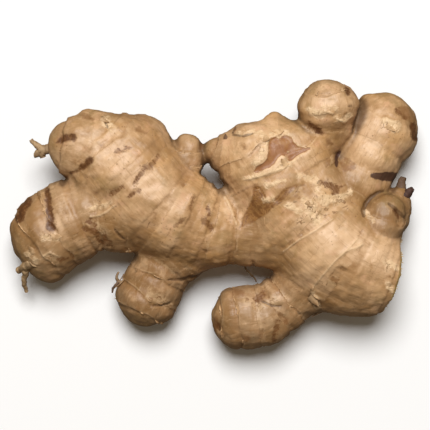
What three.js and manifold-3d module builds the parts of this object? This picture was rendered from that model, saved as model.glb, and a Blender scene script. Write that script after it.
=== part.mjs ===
// A fresh ginger root: one branching rhizome, lying flat on a table.
//
// The rhizome is one solid. Its fingers are swollen tubes that run along smooth spines and
// melt into each other where they branch. Across each finger run the ring scars of its old
// scale leaves, with the flesh swelling between them. A few dried rootlets grow out of it.
//
// Units are millimetres. +X runs along the root, +Y across it, +Z is up from the table.
// The origin is under the middle of the root, on the table.
import * as THREE from "three";
import { mergeVertices } from "three/addons/utils/BufferGeometryUtils.js";
import Module from "manifold-3d";

const wasm = await Module();
wasm.setup();

// Driving dimensions

const CELL = 3.05; // size of the cells that the skin is meshed with
const SPINE_STEPS = 6; // straight pieces between two stations of a spine
const RING_SWELL = 1.3; // how far the flesh swells between two ring scars
const RIM_HEIGHT = 0.7; // how far a ring scar stands out
const RIM_WIDTH = 1.7; // from the crest of a ring scar to its foot
const LUMP_HEIGHT = 0.45; // slow unevenness of the whole skin
const LUMP_WAVES = [
  // direction and frequency in radians per millimetre, then the phase
  [0.17, 0.11, 0.13, 0.4],
  [-0.12, 0.21, 0.09, 2.1],
  [0.08, -0.16, 0.24, 4.0],
  [0.27, 0.19, -0.11, 1.3],
];
const TABLE_Z = 0;

// Fingers
//
// A station is [x, y, z, radius], and a spine runs smoothly through its stations, from the
// base to the tip. depth is the section's height over its width, blend is how far the finger
// melts into what it grows from, and rings are the places of the ring scars, as distances
// along the spine from the first station, which may lie past either end. A finger that is
// broken ends at the break, and the small fingers beside it reach past that.

const FINGERS = [
  {
    name: "left body",
    depth: 0.86,
    blend: 0,
    rings: [6, 20, 31.5, 40, 50, 65, 75, 86],
    stations: [
      [26, -8, 17, 14.2],
      [10, -6.4, 16.5, 13.2],
      [-6, -3.4, 17, 16.8],
      [-22.5, 4.5, 18, 20.4],
      [-35.5, 18.5, 19, 19.6],
      [-43.5, 27.4, 20.5, 14.4],
    ],
  },
  {
    name: "left shoulder",
    depth: 0.88,
    blend: 4,
    rings: [3, 12.5, 22],
    stations: [
      [-29, 15, 18, 15],
      [-34.6, 25.4, 18.6, 15.4],
    ],
  },
  {
    name: "upper left corner",
    depth: 0.88,
    blend: 5,
    rings: [0, 10.5, 22],
    stations: [
      [-41, 18.4, 19, 15.4],
      [-51, 26.4, 20.5, 13.4],
      [-57.4, 27.8, 20.5, 11],
    ],
  },
  {
    name: "lower left finger",
    depth: 0.86,
    blend: 3,
    rings: [0, 10, 19.5, 30, 40.5],
    stations: [
      [-35, 2.4, 16.5, 16.8],
      [-50, 1.2, 15.5, 15.6],
      [-63.4, -5, 14.4, 16.4],
      [-68.6, -8.8, 14.2, 15.5],
    ],
  },
  {
    name: "bud under the lower left finger",
    depth: 0.9,
    blend: 4,
    rings: [5],
    stations: [
      [-65.6, -12, 13, 10.4],
      [-68.4, -20.4, 12, 7.8],
    ],
  },
  {
    name: "lower middle finger",
    depth: 0.9,
    blend: 2.5,
    rings: [6, 14, 22, 30.5, 38],
    stations: [
      [-8, -9.5, 13.5, 14.5],
      [-19.8, -20.2, 11.4, 12],
      [-28.2, -35, 10.6, 11.5],
    ],
  },
  {
    name: "lower right finger",
    depth: 0.92,
    blend: 2.5,
    rings: [4, 13, 21, 28, 36, 43],
    stations: [
      [39.6, -24.8, 14.5, 11.6],
      [31.8, -33.2, 13.2, 10.4],
      [21, -41, 12.6, 11.6],
      [11, -42.8, 12.2, 12.4],
    ],
  },
  {
    name: "small bud at the gap",
    depth: 0.95,
    blend: 3,
    rings: [8, 14],
    stations: [
      [-13.5, 12, 19, 7.6],
      [-10.6, 27.4, 20, 5.9],
    ],
  },
  {
    name: "shoulder knob",
    depth: 1,
    blend: 5,
    rings: [6],
    stations: [
      [-28.2, 27, 18, 7],
      [-27.8, 35.2, 18, 4.4],
    ],
  },
  {
    name: "corner knob",
    depth: 1,
    blend: 4,
    rings: [5],
    stations: [
      [-48, 34, 20, 6.5],
      [-51.6, 38.8, 20, 4.2],
    ],
  },
  {
    name: "right body",
    broken: true,
    depth: 0.86,
    blend: 5,
    rings: [-5, 9, 22, 36, 52, 70],
    stations: [
      [17.5, 23.4, 21, 15.4],
      [24.4, 13, 20, 17.2],
      [36.5, -1, 18.5, 18.8],
      [49, -13.5, 18, 20.4],
      [64, -21.6, 17.4, 17.6],
      [82, -27.4, 17, 13.8],
    ],
  },
  {
    name: "heel of the right body",
    broken: true,
    depth: 0.9,
    blend: 5,
    rings: [5, 29],
    stations: [
      [42, -19, 15, 14],
      [49, -25.2, 14.6, 14.2],
      [60, -25.2, 15, 13.6],
    ],
  },
  {
    name: "right shoulder",
    depth: 0.88,
    blend: 5,
    rings: [10, 22],
    stations: [
      [42, 8, 19, 15],
      [32.8, 25.4, 21.4, 12.6],
    ],
  },
  {
    name: "peak of the right shoulder",
    depth: 1,
    blend: 4,
    rings: [7],
    stations: [
      [25.4, 28, 20.5, 9.6],
      [23.8, 37.4, 20, 5],
    ],
  },
  {
    name: "bud at the gap, right side",
    depth: 0.95,
    blend: 3,
    rings: [6, 12],
    stations: [
      [13, 22, 20, 10],
      [6, 24.8, 20, 7.4],
      [0.9, 26.2, 20, 5.9],
    ],
  },
  {
    name: "round finger",
    depth: 1,
    blend: 2,
    rings: [13, 24, 37],
    stations: [
      [40.5, 16, 17, 7.5],
      [43.6, 27, 18.6, 6.8],
      [46.4, 36, 21, 9.2],
      [46, 44.4, 23.6, 11.2],
    ],
  },
  {
    name: "upper right finger",
    depth: 0.95,
    blend: 2.5,
    rings: [7, 18, 29, 40.5],
    stations: [
      [53, 2, 15, 13],
      [61.2, 19.5, 14.2, 13.2],
      [69.8, 35.2, 13.7, 13.7],
    ],
  },
  {
    name: "left knob of the upper right finger",
    depth: 1,
    blend: 4,
    rings: [],
    stations: [
      [64.5, 40, 14, 8],
      [63.4, 44.6, 14, 5.4],
    ],
  },
  {
    name: "right knob of the upper right finger",
    depth: 1,
    blend: 4,
    rings: [],
    stations: [
      [71.5, 40, 14, 8.4],
      [72.4, 45.4, 14, 5],
    ],
  },
  {
    name: "right nub, front",
    depth: 1,
    blend: 2,
    rings: [7, 13.5],
    stations: [
      [64.6, -13, 18, 8],
      [68, -4.2, 21, 8.4],
      [69.2, 0.4, 22.4, 8.2],
    ],
  },
  {
    name: "right nub, back",
    depth: 1,
    blend: 2,
    rings: [9, 16, 22],
    stations: [
      [67.4, -13, 14, 6.4],
      [73.6, 1, 14.5, 5.9],
      [76, 8, 15.5, 4],
    ],
  },
];

// Hollows pressed into the skin, as rods: [x, y, z] of one end and of the other, radius, blend
const HOLLOWS = [
  // the scar that the cut leaf shoot left
  { from: [9, 44, 26], to: [16, 46.5, 18], radius: 6.4, blend: 2.5 },
  // the slot between the two buds that meet in the middle
  { from: [-3.8, 17.3, -5], to: [-3.8, 17.3, 45], radius: 1.9, blend: 1.5 },
  { from: [-1, 15.2, -5], to: [-1, 15.2, 45], radius: 2.3, blend: 1.5 },
  { from: [1.6, 12.4, -5], to: [1.6, 12.4, 45], radius: 1.8, blend: 1.5 },
];

// The right body ends where it was broken off the plant
const BREAK_POINT = [72.4, -24, 17];
const BREAK_FACING = [0.96, -0.22, -0.16];
const BREAK_ROUNDING = 2.4;

// Rootlets: points of the line, and the radius at its root and at its tip
const ROOTLET_SIDES = 6;
const ROOTLETS = [
  // on the upper left corner, with its prongs
  { points: [[-62, 27.5, 20], [-68, 27, 20.4], [-71.4, 26.2, 20.6]], root: 1.7, tip: 1.3 },
  { points: [[-70, 26.4, 20.5], [-72.4, 28.4, 20.9], [-74.8, 30.8, 21.6]], root: 1.15, tip: 0.55 },
  { points: [[-70, 26.6, 20.5], [-72, 25.2, 20.1], [-73.6, 24.2, 19.6]], root: 1.2, tip: 0.7 },
  { points: [[-70, 26.6, 20.6], [-70.6, 24.8, 20.6], [-70.2, 23.4, 20.2]], root: 1.1, tip: 0.8 },
  // under the lower left finger, with its prongs
  { points: [[-68, -19, 15.5], [-74, -18.6, 16], [-77.6, -20.6, 14.8], [-80.8, -23, 13]], root: 1.5, tip: 1.1 },
  { points: [[-74, -18.8, 15.6], [-75.6, -16.8, 17], [-77, -14.6, 17.4]], root: 1.2, tip: 0.7 },
  { points: [[-76.6, -20.4, 14.9], [-78.3, -25.4, 13.2], [-78.7, -28.8, 11], [-78.1, -31.8, 9]], root: 1.1, tip: 0.5 },
  // a stub on the lower middle finger
  { points: [[-35.5, -28, 13], [-38.6, -28.6, 13.4], [-39.8, -31, 13]], root: 1.3, tip: 0.7 },
  // a thread that hangs from the middle
  { points: [[12, -16, 12.5], [12.7, -21.6, 12], [14.6, -24, 11.4], [17.4, -27.6, 9.6]], root: 0.5, tip: 0.32 },
  // the dry points of the dead shoot at the right
  { points: [[75.5, 6, 14.5], [76.6, 11, 15.4], [77.4, 15.6, 16.4]], root: 3, tip: 1 },
  { points: [[76, 6, 15.5], [78.6, 8.4, 17], [81, 10.6, 18.6]], root: 3, tip: 0.9 },
];

// Spines as beads: points with a radius along a Catmull-Rom curve through the stations

function catmullRom(a, b, c, d, t) {
  const square = (2 * a - 5 * b + 4 * c - d) * t * t;
  const cube = (3 * b - a - 3 * c + d) * t * t * t;
  return 0.5 * (2 * b + (c - a) * t + square + cube);
}

function beadsOf(stations) {
  const last = stations.length - 1;
  const beyond = (end, inner) => end.map((v, i) => 2 * v - inner[i]);
  const row = [beyond(stations[0], stations[1]), ...stations, beyond(stations[last], stations[last - 1])];
  const beads = [];
  for (let s = 0; s < last; s++)
    for (let step = 0; step < SPINE_STEPS; step++) {
      const t = step / SPINE_STEPS;
      beads.push([0, 1, 2, 3].map((i) => catmullRom(row[s][i], row[s + 1][i], row[s + 2][i], row[s + 3][i], t)));
    }
  beads.push(stations[last]);
  return beads;
}

// Distance of each bead from the first, along the spine
function lengthsOf(beads) {
  const lengths = [0];
  for (let i = 1; i < beads.length; i++) {
    const [a, b] = [beads[i - 1], beads[i]];
    lengths.push(lengths[i - 1] + Math.hypot(b[0] - a[0], b[1] - a[1], b[2] - a[2]));
  }
  return lengths;
}

for (const finger of FINGERS) {
  finger.beads = beadsOf(finger.stations);
  finger.lengths = lengthsOf(finger.beads);
  finger.box = new THREE.Box3();
  for (const [x, y, z, r] of finger.beads)
    finger.box.union(
      new THREE.Box3(new THREE.Vector3(x - r, y - r, z - r), new THREE.Vector3(x + r, y + r, z + r)),
    );
}

// The skin is where the field is zero; it is negative inside

// Height of the ring scars and of the swelling between them
function relief({ rings }, along) {
  let height = 0;
  for (let i = 0; i < rings.length; i++) {
    const off = (along - rings[i]) / RIM_WIDTH;
    height += RIM_HEIGHT * Math.exp(-off * off);
    const next = rings[i + 1];
    if (next !== undefined && along > rings[i] && along < next) {
      const u = (along - rings[i]) / (next - rings[i]);
      height += RING_SWELL * 4 * u * (1 - u);
    }
  }
  return height;
}

// The smaller of two fields, rounded over a distance; negative arguments give the larger
function smoothMin(a, b, blend) {
  if (blend === 0) return Math.min(a, b);
  const near = Math.max(blend - Math.abs(a - b), 0) / blend;
  return Math.min(a, b) - (near * near * blend) / 4;
}
const smoothMax = (a, b, blend) => -smoothMin(-a, -b, blend);

// Distance past the break, which is negative on the side that is left
function pastBreak(x, y, z) {
  return (
    (x - BREAK_POINT[0]) * BREAK_FACING[0] +
    (y - BREAK_POINT[1]) * BREAK_FACING[1] +
    (z - BREAK_POINT[2]) * BREAK_FACING[2]
  );
}

function fingerField(finger, x, y, z) {
  const { beads, lengths, depth } = finger;
  const last = beads.length - 2;
  let best = Infinity;
  let along = 0;
  for (let i = 0; i <= last; i++) {
    const [ax, ay, az, ar] = beads[i];
    const [cx, cy, cz, cr] = beads[i + 1];
    const ux = cx - ax;
    const uy = cy - ay;
    const uz = (cz - az) / depth;
    const px = x - ax;
    const py = y - ay;
    const pz = (z - az) / depth;
    const reached = (px * ux + py * uy + pz * uz) / (ux * ux + uy * uy + uz * uz);
    const t = THREE.MathUtils.clamp(reached, 0, 1);
    const own = Math.hypot(px - t * ux, py - t * uy, pz - t * uz) - (ar + t * (cr - ar));
    if (own >= best) continue;
    best = own;
    const pastEnd = (i === 0 && reached < 0) || (i === last && reached > 1);
    along = THREE.MathUtils.lerp(lengths[i], lengths[i + 1], pastEnd ? reached : t);
  }
  best -= relief(finger, along);
  return finger.broken ? smoothMax(best, pastBreak(x, y, z), BREAK_ROUNDING) : best;
}

const point = new THREE.Vector3();
const nearest = new THREE.Vector3();
const rod = new THREE.Line3();
function field(x, y, z) {
  point.set(x, y, z);
  let value = Infinity;
  for (const finger of FINGERS) {
    const reach = value === Infinity ? Infinity : value + finger.blend + RING_SWELL + RIM_HEIGHT;
    if (finger.box.distanceToPoint(point) > Math.max(reach, finger.blend + 2)) continue;
    const own = fingerField(finger, x, y, z);
    value = value === Infinity ? own : smoothMin(value, own, finger.blend);
  }
  for (const { from, to, radius, blend } of HOLLOWS) {
    rod.start.set(...from);
    rod.end.set(...to);
    rod.closestPointToPoint(point, true, nearest);
    value = smoothMax(value, radius - nearest.distanceTo(point), blend);
  }
  for (const [wx, wy, wz, phase] of LUMP_WAVES)
    value -= (LUMP_HEIGHT / LUMP_WAVES.length) * 2 * Math.sin(wx * x + wy * y + wz * z + phase);
  return value;
}

const EPSILON = 0.05;
function slope(x, y, z) {
  return [
    (field(x + EPSILON, y, z) - field(x - EPSILON, y, z)) / (2 * EPSILON),
    (field(x, y + EPSILON, z) - field(x, y - EPSILON, z)) / (2 * EPSILON),
    (field(x, y, z + EPSILON) - field(x, y, z - EPSILON)) / (2 * EPSILON),
  ];
}

// Where flesh meets flesh only across the diagonal of a cell's face, the skin would pinch
// itself, so the corner between them is filled
function fillPinches(values, steps) {
  const barelyInside = -0.01 * CELL;
  let found = true;
  while (found) {
    found = false;
    for (let axis = 0; axis < 3; axis++) {
      const [u, v] = [steps[(axis + 1) % 3], steps[(axis + 2) % 3]];
      for (let here = 0; here + u + v < values.length; here++) {
        const face = [here, here + u, here + u + v, here + v];
        const inside = face.map((corner) => values[corner] < 0);
        if (inside[0] !== inside[2] || inside[1] !== inside[3] || inside[0] === inside[1]) continue;
        const outer = inside[0] ? [face[1], face[3]] : [face[0], face[2]];
        values[values[outer[0]] < values[outer[1]] ? outer[0] : outer[1]] = barelyInside;
        found = true;
      }
    }
  }
}

// Meshing by surface nets: one vertex in each cell that the skin passes through, and one
// quad across each cell edge that it crosses

function surfaceNet() {
  const bounds = new THREE.Box3();
  for (const finger of FINGERS) bounds.union(finger.box);
  bounds.expandByScalar(2 * CELL);
  const size = bounds.getSize(new THREE.Vector3());
  const counts = [size.x, size.y, size.z].map((s) => Math.ceil(s / CELL) + 1);
  const [nx, ny, nz] = counts;
  const place = (i, j, k) => [bounds.min.x + i * CELL, bounds.min.y + j * CELL, bounds.min.z + k * CELL];
  const at = (i, j, k) => i + nx * (j + ny * k);
  const values = new Float64Array(nx * ny * nz);
  for (let k = 0; k < nz; k++)
    for (let j = 0; j < ny; j++)
      for (let i = 0; i < nx; i++) values[at(i, j, k)] = field(...place(i, j, k));
  const steps = [at(1, 0, 0), at(0, 1, 0), at(0, 0, 1)];
  fillPinches(values, steps);

  const corners = [0, 1, 2, 3, 4, 5, 6, 7].map((c) => [c & 1, (c >> 1) & 1, c >> 2]);
  const edges = [];
  for (let a = 0; a < 8; a++)
    for (const bit of [1, 2, 4]) if (!(a & bit)) edges.push([a, a | bit]);

  const vertices = [];
  const vertexOf = new Map();
  for (let k = 0; k + 1 < nz; k++)
    for (let j = 0; j + 1 < ny; j++)
      for (let i = 0; i + 1 < nx; i++) {
        const inCell = corners.map(([di, dj, dk]) => values[at(i + di, j + dj, k + dk)]);
        const middle = new THREE.Vector3();
        let crossings = 0;
        for (const [a, b] of edges) {
          if (inCell[a] < 0 === inCell[b] < 0) continue;
          const t = inCell[a] / (inCell[a] - inCell[b]);
          const from = new THREE.Vector3(...corners[a]);
          middle.add(from.lerp(new THREE.Vector3(...corners[b]), t));
          crossings++;
        }
        if (!crossings) continue;
        middle.divideScalar(crossings).multiplyScalar(CELL).add(new THREE.Vector3(...place(i, j, k)));
        vertexOf.set(at(i, j, k), vertices.length);
        vertices.push(middle);
      }

  const quads = [];
  for (let axis = 0; axis < 3; axis++) {
    const [u, v] = [steps[(axis + 1) % 3], steps[(axis + 2) % 3]];
    for (let k = 1; k + 1 < nz; k++)
      for (let j = 1; j + 1 < ny; j++)
        for (let i = 1; i + 1 < nx; i++) {
          const here = at(i, j, k);
          const inside = values[here] < 0;
          if (inside === values[here + steps[axis]] < 0) continue;
          const around = [here, here - u, here - u - v, here - v].map((cell) => vertexOf.get(cell));
          quads.push(inside ? around : around.reverse());
        }
  }
  return { vertices, quads };
}

// Evens out the net along the skin, and brings each vertex back onto the skin
function relax(vertices, quads, rounds) {
  const neighbours = vertices.map(() => new Set());
  for (const quad of quads)
    quad.forEach((v, i) => {
      neighbours[v].add(quad[(i + 1) % 4]);
      neighbours[v].add(quad[(i + 3) % 4]);
    });
  for (let round = 0; round < rounds; round++) {
    const averages = neighbours.map((near) => {
      const sum = new THREE.Vector3();
      for (const n of near) sum.add(vertices[n]);
      return sum.divideScalar(near.size);
    });
    vertices.forEach((vertex, i) => {
      vertex.lerp(averages[i], 0.5);
      const value = field(vertex.x, vertex.y, vertex.z);
      const gradient = new THREE.Vector3(...slope(vertex.x, vertex.y, vertex.z));
      vertex.addScaledVector(gradient, -value / Math.max(gradient.lengthSq(), 0.25));
    });
  }
}

function skinGeometry() {
  const { vertices, quads } = surfaceNet();
  relax(vertices, quads, 6);
  for (const vertex of vertices) vertex.z = Math.max(vertex.z, TABLE_Z);
  const index = [];
  for (const [a, b, c, d] of quads) {
    const shortIsAC = vertices[a].distanceTo(vertices[c]) < vertices[b].distanceTo(vertices[d]);
    index.push(...(shortIsAC ? [a, b, c, a, c, d] : [a, b, d, b, c, d]));
  }
  const geometry = new THREE.BufferGeometry().setFromPoints(vertices);
  geometry.setIndex(index);
  return geometry;
}

// Rootlets: a tube that tapers along a smooth line, closed at both ends

function rootletGeometry({ points, root, tip }) {
  const curve = new THREE.CatmullRomCurve3(points.map((p) => new THREE.Vector3(...p)));
  const steps = 3 * (points.length - 1);
  const { normals, binormals } = curve.computeFrenetFrames(steps);
  const vertices = [];
  for (let s = 0; s <= steps; s++) {
    const centre = curve.getPointAt(s / steps);
    const radius = THREE.MathUtils.lerp(root, tip, s / steps);
    for (let side = 0; side < ROOTLET_SIDES; side++) {
      const angle = (2 * Math.PI * side) / ROOTLET_SIDES;
      vertices.push(
        centre
          .clone()
          .addScaledVector(normals[s], radius * Math.cos(angle))
          .addScaledVector(binormals[s], radius * Math.sin(angle)),
      );
    }
  }
  const index = [];
  for (let s = 0; s < steps; s++)
    for (let side = 0; side < ROOTLET_SIDES; side++) {
      const next = (side + 1) % ROOTLET_SIDES;
      const [a, b] = [s * ROOTLET_SIDES + side, s * ROOTLET_SIDES + next];
      const [c, d] = [b + ROOTLET_SIDES, a + ROOTLET_SIDES];
      index.push(a, b, c, a, c, d);
    }
  const end = steps * ROOTLET_SIDES;
  for (let side = 1; side + 1 < ROOTLET_SIDES; side++) {
    index.push(0, side + 1, side);
    index.push(end, end + side, end + side + 1);
  }
  const geometry = new THREE.BufferGeometry().setFromPoints(vertices);
  geometry.setIndex(index);
  return geometry;
}

// Solids

function solidOf(geometry) {
  const merged = mergeVertices(geometry, 1e-4);
  return new wasm.Manifold(
    new wasm.Mesh({
      numProp: 3,
      vertProperties: merged.attributes.position.array,
      triVerts: new Uint32Array(merged.index.array),
    }),
  );
}

function geometryOf(solid) {
  const { vertProperties, triVerts } = solid.getMesh();
  return new THREE.BufferGeometry()
    .setAttribute("position", new THREE.BufferAttribute(vertProperties, 3))
    .setIndex(new THREE.BufferAttribute(triVerts, 1));
}

let rhizome = solidOf(skinGeometry());
for (const rootlet of ROOTLETS) rhizome = rhizome.add(solidOf(rootletGeometry(rootlet)));

const skin = new THREE.MeshStandardMaterial({ color: 0xc79f6f, roughness: 0.62, metalness: 0 });

const ginger = new THREE.Group();
const mesh = new THREE.Mesh(geometryOf(rhizome), skin);
mesh.name = "ginger_rhizome";
mesh.geometry.computeVertexNormals();
ginger.add(mesh);

export default ginger;
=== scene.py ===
import itertools
import math

import bmesh
import bpy
import numpy as np
from mathutils.bvhtree import BVHTree
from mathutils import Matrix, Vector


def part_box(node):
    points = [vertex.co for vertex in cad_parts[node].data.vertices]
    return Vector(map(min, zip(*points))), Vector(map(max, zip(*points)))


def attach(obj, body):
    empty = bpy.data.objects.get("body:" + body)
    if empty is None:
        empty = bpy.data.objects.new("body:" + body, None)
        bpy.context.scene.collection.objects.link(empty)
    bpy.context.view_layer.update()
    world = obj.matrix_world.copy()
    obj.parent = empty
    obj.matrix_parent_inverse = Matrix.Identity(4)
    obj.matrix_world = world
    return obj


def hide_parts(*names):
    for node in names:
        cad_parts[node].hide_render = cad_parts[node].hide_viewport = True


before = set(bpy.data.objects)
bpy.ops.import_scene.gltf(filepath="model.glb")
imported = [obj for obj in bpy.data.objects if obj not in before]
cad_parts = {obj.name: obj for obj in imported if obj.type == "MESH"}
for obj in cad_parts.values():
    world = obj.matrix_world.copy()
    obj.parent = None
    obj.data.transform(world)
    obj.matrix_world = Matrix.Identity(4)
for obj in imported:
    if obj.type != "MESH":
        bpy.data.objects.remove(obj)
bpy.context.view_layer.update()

# The flesh. A ginger root grows as one rhizome: swollen fingers that branch off each other, with
# a ring scar wherever an old scale leaf sat and the flesh bulging between two scars. Its form
# is the same field of round fingers that the solid has, meshed here about four times as finely.

MM = 0.001
TABLE = 0.0
CELL = 0.74
SPINE_STEPS = 6
RING_SWELL = 1.3
RIM_HEIGHT = 0.4
RIM_WIDTH = 1.4
LUMP_HEIGHT = 0.45
LUMP_WAVES = (
    (0.17, 0.11, 0.13, 0.4),
    (-0.12, 0.21, 0.09, 2.1),
    (0.08, -0.16, 0.24, 4.0),
    (0.27, 0.19, -0.11, 1.3),
)
FAR = 50.0
MARGIN = 3.0
FILL_DEPTH = 0.01
FLATTEST = 0.5

# A finger is its depth over its width, how far it melts into the others, its ring scars as
# lengths along its spine, and the stations of the spine as x, y, z and radius in millimetres
FINGERS = (
    dict(
        name="left body", depth=0.86, blend=0,
        rings=(6, 20, 31.5, 40, 50, 65, 75, 86),
        stations=(
            (26, -8, 17, 14.2), (10, -6.4, 16.5, 13.2), (-6, -3.4, 17, 16.8),
            (-22.5, 4.5, 18, 20.4), (-35.5, 18.5, 19, 19.6), (-43.5, 27.4, 20.5, 14.4),
        ),
    ),
    dict(
        name="left shoulder", depth=0.88, blend=4,
        rings=(3, 12.5, 22),
        stations=((-29, 15, 18, 15), (-34.6, 25.4, 18.6, 15.4)),
    ),
    dict(
        name="upper left corner", depth=0.88, blend=5,
        rings=(0, 10.5, 22),
        stations=((-41, 18.4, 19, 15.4), (-51, 26.4, 20.5, 13.4), (-57.4, 27.8, 20.5, 11)),
    ),
    dict(
        name="lower left finger", depth=0.86, blend=3,
        rings=(0, 10, 19.5, 30, 40.5),
        stations=(
            (-35, 2.4, 16.5, 16.8), (-50, 1.2, 15.5, 15.6), (-63.4, -5, 14.4, 16.4),
            (-68.6, -8.8, 14.2, 15.5),
        ),
    ),
    dict(
        name="bud under the lower left finger", depth=0.9, blend=4,
        rings=(5,),
        stations=((-65.6, -12, 13, 10.4), (-68.4, -20.4, 12, 7.8)),
    ),
    dict(
        name="lower middle finger", depth=0.9, blend=2.5,
        rings=(6, 14, 22, 30.5, 38),
        stations=((-8, -9.5, 13.5, 14.5), (-19.8, -20.2, 11.4, 12), (-28.2, -35, 10.6, 11.5)),
    ),
    dict(
        name="lower right finger", depth=0.92, blend=2.5,
        rings=(4, 13, 21, 28, 36, 43),
        stations=(
            (39.6, -24.8, 14.5, 11.6), (31.8, -33.2, 13.2, 10.4), (21, -41, 12.6, 11.6),
            (11, -42.8, 12.2, 12.4),
        ),
    ),
    dict(
        name="small bud at the gap", depth=0.95, blend=3,
        rings=(8, 14),
        stations=((-13.5, 12, 19, 7.6), (-10.6, 27.4, 20, 5.9)),
    ),
    dict(
        name="shoulder knob", depth=1, blend=5,
        rings=(6,),
        stations=((-28.2, 27, 18, 7), (-27.8, 35.2, 18, 4.4)),
    ),
    dict(
        name="corner knob", depth=1, blend=4,
        rings=(5,),
        stations=((-48, 34, 20, 6.5), (-51.6, 38.8, 20, 4.2)),
    ),
    dict(
        name="right body", depth=0.86, blend=5,
        rings=(-5, 9, 22, 36, 52, 70),
        stations=(
            (17.5, 23.4, 21, 15.4), (24.4, 13, 20, 17.2), (36.5, -1, 18.5, 18.8),
            (49, -13.5, 18, 20.4), (64, -21.6, 17.4, 17.6), (82, -27.4, 17, 13.8),
        ),
    ),
    dict(
        name="heel of the right body", depth=0.9, blend=5,
        rings=(5, 29),
        stations=((42, -19, 15, 14), (49, -25.2, 14.6, 14.2), (60, -25.2, 15, 13.6)),
    ),
    dict(
        name="right shoulder", depth=0.88, blend=5,
        rings=(10, 22),
        stations=((42, 8, 19, 15), (32.8, 25.4, 21.4, 12.6)),
    ),
    dict(
        name="peak of the right shoulder", depth=1, blend=4,
        rings=(7,),
        stations=((25.4, 28, 20.5, 9.6), (23.8, 37.4, 20, 5)),
    ),
    dict(
        name="bud at the gap, right side", depth=0.95, blend=3,
        rings=(6, 12),
        stations=((13, 22, 20, 10), (6, 24.8, 20, 7.4), (0.9, 26.2, 20, 5.9)),
    ),
    dict(
        name="round finger", depth=1, blend=2,
        rings=(13, 24, 37),
        stations=(
            (40.5, 16, 17, 7.5), (43.6, 27, 18.6, 6.8), (46.4, 36, 21, 9.2),
            (46, 44.4, 23.6, 11.2),
        ),
    ),
    dict(
        name="upper right finger", depth=0.95, blend=2.5,
        rings=(7, 18, 29, 40.5),
        stations=((53, 2, 15, 13), (61.2, 19.5, 14.2, 13.2), (69.8, 35.2, 13.7, 13.7)),
    ),
    dict(
        name="left knob of the upper right finger", depth=1, blend=4,
        rings=(),
        stations=((64.5, 40, 14, 8), (63.4, 44.6, 14, 5.4)),
    ),
    dict(
        name="right knob of the upper right finger", depth=1, blend=4,
        rings=(),
        stations=((71.5, 40, 14, 8.4), (72.4, 45.4, 14, 5)),
    ),
    dict(
        name="right nub, front", depth=1, blend=2,
        rings=(7, 13.5),
        stations=((64.6, -13, 18, 8), (68, -4.2, 21, 8.4), (69.2, 0.4, 22.4, 8.2)),
    ),
    dict(
        name="right nub, back", depth=1, blend=2,
        rings=(9, 16, 22),
        stations=((67.4, -13, 14, 6.4), (73.6, 1, 14.5, 5.9), (76, 8, 15.5, 4)),
    ),
)

# Side lobes carry on the skin of the body they swell from
LOBES = (
    "left shoulder",
    "heel of the right body",
    "peak of the right shoulder",
    "shoulder knob",
    "corner knob",
    "left knob of the upper right finger",
    "right knob of the upper right finger",
    "bud under the lower left finger",
)
BROKEN = ("right body", "heel of the right body")
BREAK_POINT = np.array([72.4, -24, 17])
BREAK_FACING = np.array([0.96, -0.22, -0.16])
BREAK_ROUNDING = 2.4

# Rods that press a hollow into the flesh: one end, the other, radius, blend
HOLLOWS = (
    ((9, 44, 26), (16, 46.5, 18), 6.4, 2.5),
    ((-3.8, 17.3, -5), (-3.8, 17.3, 45), 1.9, 1.5),
    ((-1, 15.2, -5), (-1, 15.2, 45), 2.3, 1.5),
    ((1.6, 12.4, -5), (1.6, 12.4, 45), 1.8, 1.5),
)


def spine_of(stations):
    """Beads along a smooth spine, as rows of x, y, z and radius, and the length up to each."""
    rows = np.array(stations, float)
    rows = np.vstack([2 * rows[0] - rows[1], rows, 2 * rows[-1] - rows[-2]])
    beads = []
    for a, b, c, d in zip(rows, rows[1:], rows[2:], rows[3:]):
        for t in np.arange(SPINE_STEPS) / SPINE_STEPS:
            square = (2 * a - 5 * b + 4 * c - d) * t * t
            cube = (3 * b - a - 3 * c + d) * t**3
            beads.append(0.5 * (2 * b + (c - a) * t + square + cube))
    beads = np.array(beads + [rows[-2]])
    lengths = np.cumsum(np.linalg.norm(np.diff(beads[:, :3], axis=0), axis=1))
    return beads, np.concatenate([[0.0], lengths])


def along_finger(finger, places):
    """How far each place is from a finger's flesh, how far along its spine, and where across."""
    beads, lengths = finger["spine"]
    flatten = np.array([1, 1, finger["depth"]])
    best = np.full(len(places), FAR)
    along = np.zeros(len(places))
    across = np.zeros(len(places))
    last = len(beads) - 2
    for i, (a, b) in enumerate(zip(beads, beads[1:])):
        step = (b - a)[:3] / flatten
        offset = (places - a[:3]) / flatten
        reached = offset @ step / (step @ step)
        t = np.clip(reached, 0, 1)
        own = np.linalg.norm(offset - t[:, None] * step, axis=1) - (a[3] + t * (b[3] - a[3]))
        past_end = ((i == 0) & (reached < 0)) | ((i == last) & (reached > 1))
        t = np.where(past_end, reached, t)
        nearer = own < best
        best = np.where(nearer, own, best)
        along = np.where(nearer, lengths[i] + t * (lengths[i + 1] - lengths[i]), along)
        sideways = np.array([-step[1], step[0]]) / max(math.hypot(step[0], step[1]), 1e-6)
        across = np.where(nearer, (places[:, :2] - a[:2]) @ sideways, across)
    return best, along, across


def swelling(rings, along):
    """Height of the ring scars and of the flesh between them."""
    height = np.zeros_like(along)
    for ring in rings:
        height += RIM_HEIGHT * np.exp(-(((along - ring) / RIM_WIDTH) ** 2))
    for near, far in zip(rings, rings[1:]):
        u = np.clip((along - near) / (far - near), 0, 1)
        height += RING_SWELL * 4 * u * (1 - u)
    return height


def smooth_min(a, b, blend):
    """The smaller of two fields, rounded over a distance."""
    near = np.maximum(blend - np.abs(a - b), 0) / max(blend, 1e-9)
    return np.minimum(a, b) - near * near * blend / 4


def past_break(places):
    """How far each place is beyond the plane where the root was snapped off."""
    return (places - BREAK_POINT) @ BREAK_FACING


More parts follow.
